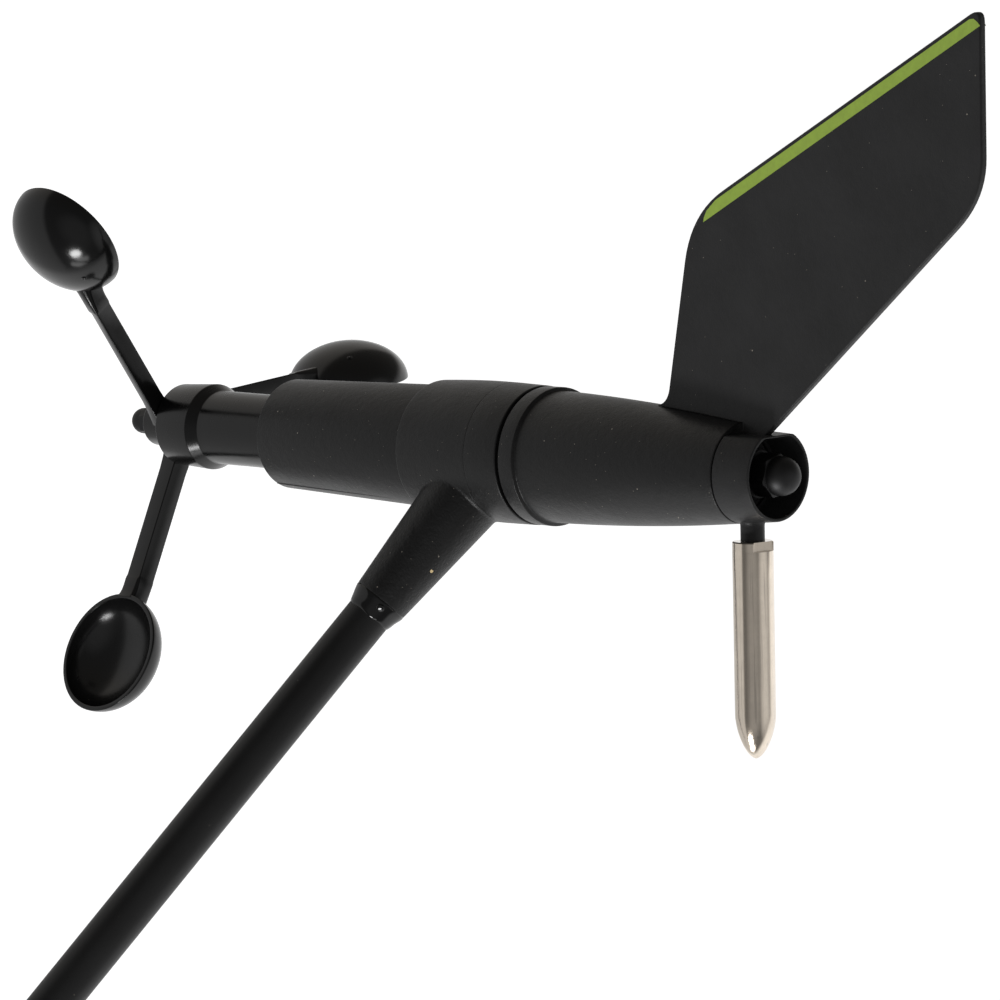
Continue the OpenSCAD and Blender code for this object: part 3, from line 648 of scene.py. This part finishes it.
def make_vane_ring():
    """The D-shaped ring round the nut, its recess and the seat in it."""
    inner_flat = FLAT_AT - FLAT_WALL
    height = RING_TOP - RING_Z

    def outer(z):
        return with_flat(RING_R0 + (RING_R1 - RING_R0) * (z - RING_Z) / height, FLAT_AT)

    rim = 0.28
    outline = [(VANE_SHAFT_BORE, SPIGOT_Z), (SPIGOT_R, SPIGOT_Z), (SPIGOT_R, RING_Z)]
    outline += [(with_flat(RING_R0 - 0.15, FLAT_AT - 0.12), RING_Z), (outer(RING_Z), RING_Z + 0.15)]
    outline += [(outer(RING_Z + height * i / 6), RING_Z + height * i / 6) for i in range(1, 6)]
    for t in quarter_turn(4):
        inset = rim * (1 - math.cos(t))
        outline.append((with_flat(RING_R1 - inset, FLAT_AT - inset), RING_TOP - rim + rim * math.sin(t)))
    for t in quarter_turn(4):
        inset = rim * (1 - math.sin(t))
        outline.append((with_flat(RECESS_R + inset, inner_flat + inset), RING_TOP - rim + rim * math.cos(t)))
    outline += [
        (with_flat(RECESS_R, inner_flat), RECESS_Z + 0.5),
        (with_flat(RECESS_R - 0.5, inner_flat - 0.5), RECESS_Z),
        (SEAT_R + 0.4, RECESS_Z), (SEAT_R, RECESS_Z + 0.4), (SEAT_R, SEAT_Z - 0.25), (SEAT_R - 0.25, SEAT_Z),
        (VANE_SHAFT_BORE, SEAT_Z),
    ]
    ring = turned("vane_ring", outline, VANE, M["vane_black"], even_angles(240), sharp=50)
    put(ring, "vane", "vane_black", "vane_fin")


FIN_T = 2.2             # the fin's thickness
FOOT_GAP = 0.05         # between the fin's foot and the barrel it stands on
FIN_TOP = 149.7
FIN_SLOPE = 0.556       # how far the outer edge leans out for each millimetre up
OUTER_FOOT = Vector((64.8, 53.4))
OUTER_TIP = Vector((OUTER_FOOT.x + FIN_SLOPE * (FIN_TOP - OUTER_FOOT.y), FIN_TOP))
BACK_CORNER = Vector((71.9, FIN_TOP))
RING_FOOT = Vector((FLAT_AT, 78.1))


def curve(a, b, c, n=10):
    """Points of a quadratic curve from a to c, bending towards b."""
    steps = [i / n for i in range(n + 1)]
    return [tuple((1 - t) ** 2 * a + 2 * t * (1 - t) * b + t * t * c) for t in steps]


def rounded(a, p, c, d, e, n=10):
    """The corner p between a and c, rounded from d before it to e after it."""
    return curve(p + (a - p).normalized() * d, p, p + (c - p).normalized() * e, n)


def make_fin():
    """The flat fin, with its foot on the barrel and its back corner run into the ring."""
    toe, heel, lead = Vector((15.6, 41.0)), Vector((16.3, 44.25)), Vector((20, 44.95))
    into_wall = RING_FOOT + (RING_FOOT - BACK_CORNER).normalized() * 0.6
    over_barrel = [(barrel_radius(z) + FOOT_GAP, z) for z in (69, 66, 63, 60, 57, 54, 51, 48, 45, 43)]
    outline = [
        *curve(toe, heel, lead),
        *rounded(lead, OUTER_FOOT, OUTER_TIP, 12.5, 12.5),
        *rounded(OUTER_FOOT, OUTER_TIP, BACK_CORNER, 4, 4),
        *rounded(OUTER_TIP, BACK_CORNER, RING_FOOT, 10, 12),
        tuple(into_wall), (into_wall.x, RING_Z + 0.5), (BARREL_R1 + 0.1, RING_Z + 0.4), *over_barrel,
    ]

    def edge(p):
        standing = p.x < barrel_radius(p.y) + 0.3 and p.y < RING_Z + 1
        return 0.06 if standing else 0.5

    put(plate("fin_blade", outline, FIN_T, edge, VANE, M["vane_black"]), "vane", "vane_black")


def make_stripe():
    """The green foil strip inside the fin's outer edge, on both sides; its foot follows the corner."""
    along = (OUTER_TIP - OUTER_FOOT).normalized()
    inward = Vector((-along.y, along.x))
    length = (OUTER_TIP - OUTER_FOOT).length
    edge, wide, thick = 1.05, 2.95, 0.05

    def at(distance, depth):
        p = OUTER_FOOT + along * distance + inward * depth
        return (p.x, p.y)

    outline = [
        at(9.5, edge), at(length - 4.4, edge), at(length - 3.2, edge + 0.5), at(length - 2.6, edge + 1.6),
        at(length - 2.2, edge + wide), at(3.0, edge + wide), at(3.6, edge + wide * 0.72),
        at(5.4, edge + wide * 0.32),
    ]
    for side, name in ((-1, "stripe_left"), (1, "stripe_right")):
        lift = side * (FIN_T / 2 + thick / 2)
        sections = [[(x, lift + step * thick / 2, z) for x, z in outline] for step in (-1, 1)]
        strip = loft(name, sections, VANE, M["stripe"], sharp=30)
        put(strip, "vane", "stripe", *(["edge_stripe"] if side < 0 else []))


WEIGHT_Z = 71.9         # height of the counterweight's axis above the gap plane
WEIGHT = VANE @ Matrix.Translation((0, 0, WEIGHT_Z)) @ Matrix.Rotation(math.radians(-90), 4, "Y")
WEIGHT_START, WEIGHT_TIP = 17.0, 72.4       # distances from the rotor axis
NOSE, WEIGHT_R, NECK_R = 11.4, 5.25, 3.1    # length of the nose, and two radii


def make_neck():
    """The neck between the ring and the counterweight, flared where it leaves the ring."""
    flare, flare_start, flare_len = 1.5, 11.4, 1.9
    outline = [(0, RECESS_R + 0.3), (NECK_R + flare, RECESS_R + 0.3)]
    for t in quarter_turn(8):
        outline.append((NECK_R + flare * (1 - math.sin(t)), flare_start + flare_len * (1 - math.cos(t))))
    outline += [(NECK_R, WEIGHT_START - 0.05), (0, WEIGHT_START - 0.05)]
    neck = turned("weight_neck", outline, WEIGHT, M["vane_black"], even_angles(64))
    clear_of_barrel(neck)
    put(neck, "vane", "vane_black")


def clear_of_barrel(neck):
    """Lifts what would dip into the barrel's top to just above it."""
    floor = (HEAD @ Vector((0, 0, RING_Z + 0.02))).z
    for v in neck.data.vertices:
        v.co.z = max(v.co.z, floor)


def make_counterweight():
    """A round bar with two spanner flats at its root and a bullet-shaped nose."""
    flat_half, flat_len, edge, turn = 3.9, 2.4, 0.3, 5
    corner = math.degrees(math.acos(flat_half / WEIGHT_R))

    def flats(radius):
        return lambda a: min(radius, flat_half / max(abs(math.cos(a - math.radians(turn))), 1e-3))

    start, nose_at = WEIGHT_START, WEIGHT_TIP - NOSE
    flats_end = start + flat_len
    outline = [(0, start), (flats(WEIGHT_R - edge), start), (flats(WEIGHT_R), start + edge)]
    outline += [(flats(WEIGHT_R), flats_end), (WEIGHT_R - 0.02, flats_end), (WEIGHT_R, flats_end + 0.1)]
    outline += [(WEIGHT_R, flats_end + (nose_at - flats_end) * i / 6) for i in range(1, 7)]
    for angle in quarter_turn(24)[1:-1]:
        t = math.sin(angle)
        outline.append((WEIGHT_R * (1 - t**1.7) ** 0.6, nose_at + NOSE * t))
    outline.append((0, WEIGHT_TIP))
    angles = even_angles(FINE, [turn + f + s for f in (0, 180) for s in (corner, -corner)])
    weight = turned("counterweight_body", outline, WEIGHT, M["nickel"], angles, sharp=28)
    put(weight, "vane", "nickel", "counterweight")


def cap_nut(name, place, flats, hex_h, total_h, dome, bore, depth):
    """A domed cap nut standing on z = 0: chamfered hexagon, short collar and dome, with a blind bore."""
    face = flats * 0.475        # radius of the round face inside the chamfer

    def hexagon(cone):
        def at(a):
            local = (a + math.pi / 6) % (math.pi / 3) - math.pi / 6
            return min(flats / 2 / math.cos(local), cone)

        return at

    outline = [(bore, 0), (hexagon(face), 0)]
    outline += [(hexagon(face + 1.9 * d), d) for d in (0.1, 0.2, 0.3, 0.45)]
    outline += [(hexagon(face + 1.9 * d), hex_h - d) for d in (0.45, 0.3, 0.2, 0.1)]
    outline += [(hexagon(face), hex_h), (dome + 0.05, hex_h), (dome, hex_h + 0.08), (dome, total_h - dome)]
    outline += [(dome * math.cos(t), total_h - dome + dome * math.sin(t)) for t in quarter_turn(20)[1:-1]]
    outline += [(0, total_h), (0, depth), (bore, depth - 0.8)]
    return turned(name, outline, place, M["dark_nut"], even_angles(144), sharp=30)


def make_vane_nut():
    """The cap nut on its washer in the ring's recess."""
    place = VANE @ Matrix.Translation((0, 0, SEAT_Z + 1.45)) @ Matrix.Rotation(math.radians(14.3), 4, "Z")
    nut = cap_nut("vane_cap_nut", place, flats=10, hex_h=6, total_h=12, dome=5.0, bore=3.04, depth=9.5)
    put(nut, "vane", "dark_nut", "vane_nut")


# ---- the cup rotor ----

CUP_REACH = 65.8        # from the rotor axis to the middle of a cup's mouth
CUP_Z, CUP_R, CUP_DEPTH = -139.2, 16.7, 11.6
CUP_WALL, RIM_T = 1.1, 1.3      # the wall's thickness at the bottom and at the rim
ARM_TOP, ARM_W, ARM_FRONT, ARM_BACK = -136.8, 5.6, 5.2, 3.2     # height, width, depth of its two sides
ARM_SIDE = 3.8          # how far the arm's middle lies to the side of the rotor axis
ARM_COLLAR = 44.2       # where the arm turns fuller
ARM_DRAFT = 0.9         # how far an arm's back face leans in towards its foot
HUB_TOP, HUB_EDGE, HUB_R, HUB_Z, HUB_R0 = -121.0, -124.0, 11.6, -136.4, 10.95
SLEEVE_R, SLEEVE_BORE, SLEEVE_TOP = 9.9, 8.3, -62
COLLAR_R, COLLAR_Z = 6.3, -146.5
CUP_SHAFT_BORE = 2.04


def make_cup(i):
    """A shallow bowl with a rounded rim; its frame's z axis points out of its mouth."""
    centred = cup_frame(i) @ Matrix.Translation((CUP_REACH, 0, CUP_Z))
    place = centred @ Matrix.Rotation(math.radians(90), 4, "X")
    inner_r, inner_d, edge_r = CUP_R - RIM_T, CUP_DEPTH - CUP_WALL, 0.3
    outside = [(CUP_R * math.sin(t), -CUP_DEPTH * math.cos(t)) for t in quarter_turn(36)[1:]]
    inside = [(inner_r * math.cos(t), -inner_d * math.sin(t)) for t in quarter_turn(36)[1:-1]]
    outline = [(0, -CUP_DEPTH)]
    outline += [(r, z) for r, z in outside if z < -edge_r - 0.1]
    for t in quarter_turn(4):
        outline.append((CUP_R - edge_r * (1 - math.cos(t)), -edge_r * (1 - math.sin(t))))
    for t in quarter_turn(4):
        outline.append((inner_r + edge_r * (1 - math.sin(t)), -edge_r * (1 - math.cos(t))))
    outline += [(r, z) for r, z in inside if z < -edge_r - 0.2]
    outline.append((0, -inner_d))
    cup = turned(f"cup_{i + 1}_shell", outline, place, M["rotor_black"], even_angles(FINE), sharp=60)
    cup.data.materials.append(M["cup_inside"])
    # what faces the mouth from inside the bowl takes the other material: a rougher gloss, and a lighter base
    # colour that is painted bounce light
    mouth = place.to_3x3().col[2].normalized()
    centre = place.translation
    for face in cup.data.polygons:
        within = (face.center - centre).length < inner_r * MM
        if within and face.normal.dot(mouth) > 0:
            face.material_index = 1
    put(cup, "cup_rotor", "rotor_black", f"cup_{i + 1}")
    make_gate_mark(i, place)


def make_gate_mark(i, place):
    """The mark where the plastic entered the mould: a low rim round a pip with a broken, slanting face."""
    x, y = -7.2, 8.8
    depth = CUP_DEPTH * math.sqrt(1 - (x * x + y * y) / CUP_R**2)
    normal = Vector((x / CUP_R**2, y / CUP_R**2, -depth / CUP_DEPTH**2)).normalized()
    broken_face = Vector((0.07, 0.54, -0.84))
    rim = [(0, -0.2), (0.8, -0.2), (0.78, 0.02), (0.62, 0.12), (0.46, 0.04), (0, 0.02)]
    pip = [(0, -0.5), (0.4, -0.5), (0.4, 0.22), (0.34, 0.27), (0, 0.28)]
    spot = place @ Matrix.Translation((x, y, -depth))
    for part, outline, facing in (("rim", rim, normal), ("pip", pip, broken_face)):
        upright = spot @ facing.to_track_quat("Z", "Y").to_matrix().to_4x4()
        piece = turned(f"cup_{i + 1}_gate_{part}", outline, upright, M["rotor_black"], even_angles(24))
        put(piece, "cup_rotor", "rotor_black")


def arm_section(grow, corner, flare=0.0, crown=None):
    """Arm section as (side, height) about the arm's own middle.

    `flare` widens it on the cup's mouth side, and `crown` is the radius of the corners on the other side.
    """
    crown = crown or corner
    side = ARM_W / 2 + grow
    front = -side - flare
    return soften([
        (front, grow + flare * 0.3, corner), (front, -ARM_FRONT - grow, corner),
        (1.6 - side, -ARM_FRONT - grow, 0.5),
        (side - ARM_DRAFT, -ARM_BACK - grow, crown), (side, grow + flare * 0.3, crown),
    ], n=4)


def make_arm(i):
    """One arm from the collar to the cup: sharp-edged at first, fuller and rounder for its last stretch."""

    def end_at(y, z):
        """Where the arm ends, inside the cup's wall."""
        inset = 0.6
        d, dz = y / (CUP_DEPTH - inset), z - CUP_Z
        a = CUP_R - inset
        return CUP_REACH - math.sqrt(max(1.0, a * a * (1 - min(0.98, d * d)) - dz * dz))

    def station(share, grow, corner, flare=0.0, fixed=None, crown=None):
        """A section at the distance `fixed`, or at a `share` of the way from the arm's collar to the cup."""
        out = []
        for side, height in arm_section(grow, corner, flare, crown):
            y, z = ARM_SIDE + side, ARM_TOP + height
            x = fixed if fixed is not None else ARM_COLLAR + (end_at(y, z) - ARM_COLLAR) * share
            out.append((x, y, z))
        return out

    sections = [station(0, 0.5, 0.3, 0.0, 4.5), station(0, 0.1, 0.3, 0.0, 9.5), station(0, 0, 0.3, 0.0, 12.5)]
    sections += [station(0, 0, 0.3, 0.0, x) for x in (20, 28, 36, ARM_COLLAR - 0.8)]
    sections += [station(0, 0.12, 0.45, 0, ARM_COLLAR - 0.35), station(0, 0.33, 0.9, 0, ARM_COLLAR + 0.25)]
    sections += [station(0.35, 0.38, 1.1, crown=1.2), station(0.6, 0.42, 1.2, 0.1, crown=1.5)]
    sections += [station(0.8, 0.48, 1.2, 0.3, crown=1.8), station(1, 0.6, 1.2, 0.6, crown=2.0)]
    put(loft(f"arm_{i + 1}", sections, cup_frame(i), M["rotor_black"], sharp=45), "cup_rotor", "rotor_black")


def make_hub():
    """The hub the arms start from, in one piece with the sleeve that reaches up into the skirt."""
    outline = soften([
        (CUP_SHAFT_BORE, COLLAR_Z), (COLLAR_R, COLLAR_Z, 0.6), (COLLAR_R, HUB_Z, 0.5), (HUB_R0, HUB_Z, 0.5),
        (HUB_R, HUB_EDGE, 0.7), (SLEEVE_R + 0.02, HUB_TOP, 0.9), (SLEEVE_R, HUB_TOP + 2),
        (SLEEVE_R, SLEEVE_TOP, 0.2), (SLEEVE_BORE, SLEEVE_TOP), (SLEEVE_BORE, -120), (CUP_SHAFT_BORE, -120),
    ], n=6)
    hub = turned("hub_and_sleeve", outline, cup_frame(0), M["sleeve_black"])
    put(hub, "cup_rotor", "rotor_black", "cup_hub")


def make_cup_nut():
    """The cap nut under the hub, dome down."""
    place = cup_frame(0) @ Matrix.Translation((0, 0, COLLAR_Z - 1.05)) @ Matrix.Rotation(math.pi, 4, "X")
    nut = cap_nut("rotor_cap_nut", place, flats=7.2, hex_h=3.4, total_h=8.2, dome=3.5, bore=2.04, depth=6.4)
    put(nut, "cup_rotor", "dark_nut", "cup_nut")


# ---- the wand's far end ----


def make_locking_nut():
    """The gripped collar with a coarse thread inside its mouth."""
    back, front, r, ribs = -14, 8, 12.4, 24
    pitch, crest_r, thread_depth = 1.5, 10.4, 0.45

    def ribbed(base, height):
        return lambda a: base + height * (0.5 + 0.5 * math.cos(ribs * a)) ** 0.55

    def threaded(z):
        def at(a):
            turn = (z / pitch + a / (2 * math.pi)) % 1
            return crest_r + thread_depth * abs(2 * turn - 1)

        return at

    outline = [
        (WAND_R + 0.4, back), (10.2, back), (10.9, back + 0.35), (11.6, back + 1.2),
        (ribbed(11.9, 0.1), back + 2.0), (ribbed(r, 0.55), back + 3), (ribbed(r, 0.7), back + 3.6),
        (ribbed(r, 0.7), front - 4.2), (ribbed(r, 0.55), front - 3.6), (ribbed(11.9, 0.1), front - 2.9),
        (12.0, front - 2.2), (12.0, front - 0.5), (11.7, front), (11.1, front),
    ]
    thread = [front - 0.4 - k * 0.125 for k in range(85)]
    outline += [(threaded(z), z) for z in thread]
    outline += [(10.45, -4.4), (WAND_R + 0.4, -4.4)]
    nut = turned("locking_nut_grip", outline, PLUG, M["grip"], even_angles(288), sharp=50)
    put(nut, "locking_nut_body", "grip", "locking_nut")


def make_plug():
    """The end plug: tail in the tube, shoulder, sealed spigot with its keyway, socket for the contacts."""
    spigot, length, bore, socket = 8.0, 26.0, 2.4, 6.44
    seal_z, seal_r = 2, 0.8
    key_start, depth, half = 10, 1.0, 1.0

    def keyed(radius):
        """Radius of the spigot with a keyway of width 2 * `half` along angle 0."""

        def at(a):
            return radius - depth if math.cos(a) > 0 and abs(spigot * math.sin(a)) < half else radius

        return at

    half_circle = [math.pi * k / 8 for k in range(9)]
    groove = [(spigot - seal_r * math.sin(t), seal_z - seal_r * math.cos(t)) for t in half_circle]
    outline = [
        (bore, -24), (4.7, -24), (4.96, -23.7), (4.96, -4), (9.7, -4), (10, -3.7), (10, -0.3), (9.7, 0),
        (spigot, 0), *groove, (spigot, key_start - 0.01), (keyed(spigot), key_start),
        (keyed(spigot), length - 0.6), (keyed(spigot - 0.6), length), (socket, length),
        (socket, length - 8), (bore, length - 8),
    ]
    corner = math.degrees(math.asin(half / spigot))
    angles = even_angles(FINE, [corner - 0.2, corner + 0.2, -corner - 0.2, -corner + 0.2])
    put(turned("end_plug_body", outline, PLUG, M["grip"], angles, sharp=30), "head", "grip", "end_plug")


# ---- build everything ----

make_top_cap()
make_upper_housing()
make_boss()
make_boss_fillet()
make_adhesive()
make_lower_housing()
make_barrel()
make_vane_ring()
make_fin()
make_stripe()
make_neck()
make_counterweight()
make_vane_nut()
for cup_number in range(3):
    make_cup(cup_number)
    make_arm(cup_number)
make_hub()
make_cup_nut()
make_locking_nut()
make_plug()

# CAD nodes that stay in view take the detailed material of their slot
for row in frame["record"]["subparts"]:
    node = frame["nodes"][row["node"]]
    node.data.materials.clear()
    node.data.materials.append(M[row["material_slot"]])

# ---- stage, light and camera ----


def make_floor():
    """A wide pale floor well below the part."""
    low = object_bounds()[0].z - 0.25
    mesh = bpy.data.meshes.new("floor")
    half = 30
    corners = [(x * half, y * half, low) for x, y in ((-1, -1), (1, -1), (1, 1), (-1, 1))]
    mesh.from_pydata(corners, [], [(0, 1, 2, 3)])
    floor = bpy.data.objects.new("floor", mesh)
    bpy.context.scene.collection.objects.link(floor)
    material, n, shader, where = new_material("floor_white")
    n.put(shader, "Base Color", n.mix(n.noise(where, 0.4), (0.86, 0.86, 0.86, 1), (0.9, 0.9, 0.9, 1)))
    shader.inputs["Roughness"].default_value = 0.9
    shader.inputs["Emission Color"].default_value = (1, 1, 1, 1)
    shader.inputs["Emission Strength"].default_value = 0.7
    mesh.materials.append(material)
    # the studio's own glow stands in for the floor in reflections, so the floor is only looked at
    floor.visible_glossy = False
    floor.visible_diffuse = False


TARGET = HEAD @ Vector((14.5, -0.95, -7.6))
CAMERA_HEADING, CAMERA_ELEVATION, CAMERA_ROLL = -63.39, 44.06, 95.37      # degrees
CAMERA_DISTANCE = 1.769         # metres from the target
LENS_OVER_WIDTH = 6.85          # focal length over the sensor's width


def camera_axes():
    """The camera's right, up and backward directions."""
    heading, elevation, roll = (math.radians(a) for a in (CAMERA_HEADING, CAMERA_ELEVATION, CAMERA_ROLL))
    outward = Vector((math.cos(heading), math.sin(heading), 0))
    back = outward * math.cos(elevation) + Vector((0, 0, math.sin(elevation)))
    level = Vector((-math.sin(heading), math.cos(heading), 0))
    right = level * math.cos(roll) + back.cross(level) * math.sin(roll)
    return right, back.cross(right), back


def make_camera():
    """A long lens that looks at the target from the photograph's side."""
    right, up, back = camera_axes()
    data = bpy.data.cameras.new("camera")
    data.sensor_width = 36
    data.lens = data.sensor_width * LENS_OVER_WIDTH
    data.clip_end = 100
    camera = bpy.data.objects.new("camera", data)
    bpy.context.scene.collection.objects.link(camera)
    place = Matrix((right, up, back)).transposed().to_4x4()
    place.translation = TARGET + back * CAMERA_DISTANCE
    camera.matrix_world = place
    bpy.context.scene.camera = camera


def soft_light(name, direction, distance, size, power, tint=(1, 1, 1)):
    """An oval soft box that looks at the head from a direction in the row frame."""
    data = bpy.data.lights.new(name, "AREA")
    data.shape = "ELLIPSE"
    data.size, data.size_y = size
    data.energy = power
    data.color = tint
    light = bpy.data.objects.new(name, data)
    bpy.context.scene.collection.objects.link(light)
    away = Vector(direction).normalized()
    light.location = TARGET + away * distance
    light.rotation_mode = "QUATERNION"
    light.rotation_quaternion = away.to_track_quat("Z", "Y")


def make_world():
    """A pale studio: a white table below, a white sweep behind the head, and a dim room elsewhere.

    Each part of it is lit by the direction it lies in, and the camera sees plain white.
    """
    world = bpy.data.worlds.new("studio")
    world.use_nodes = True
    world.node_tree.nodes.clear()
    n = Nodes(world.node_tree)
    direction = n.add("ShaderNodeTexCoord").outputs["Generated"]

    def share(towards, low, high):
        return n.ramp(n.dot(direction, towards), low, high)

    table = n.math("MULTIPLY", share((0, 0, -1), 0.28, 0.40), 0.56)
    sweep_share = share((0.09, 0.98, -0.17), 0.37, 0.60)
    overhead = n.math("MULTIPLY", share((0.0, 0.25, 0.97), 0.76, 0.98), 0.58)
    window = n.math("MULTIPLY", share((0.60, -0.52, 0.60), 0.60, 0.95), 0.28)
    lit = n.math("MAXIMUM", table, n.math("MULTIPLY", sweep_share, 0.98))
    high = n.math("MAXIMUM", overhead, window)
    glow = n.math("MAXIMUM", n.math("MAXIMUM", lit, high), 0.13)
    tint = n.mix(share((-0.9, -0.4, 0.0), 0.3, 0.8), (1, 1, 1, 1), (1, 0.95, 0.88, 1))
    room = n.add("ShaderNodeBackground", {"Color": tint, "Strength": glow}).outputs[0]
    seen = n.add("ShaderNodeBackground", {"Color": (1, 1, 1, 1), "Strength": 1.0}).outputs[0]
    camera_ray = n.add("ShaderNodeLightPath").outputs["Is Camera Ray"]
    both = n.add("ShaderNodeMixShader", {0: camera_ray, 1: room, 2: seen}).outputs[0]
    n.add("ShaderNodeOutputWorld", {"Surface": both})
    bpy.context.scene.world = world


make_floor()
make_camera()
make_world()
soft_light("key", (0.985, -0.055, 0.05), 0.9, (0.18, 0.34), 3.6)
soft_light("bounce", (0.955, 0.20, 0.02), 0.9, (0.20, 0.62), 0.8)
bpy.context.scene.view_settings.view_transform = "Standard"
bpy.context.scene.view_settings.look = "None"

bpy.context.view_layer.update()
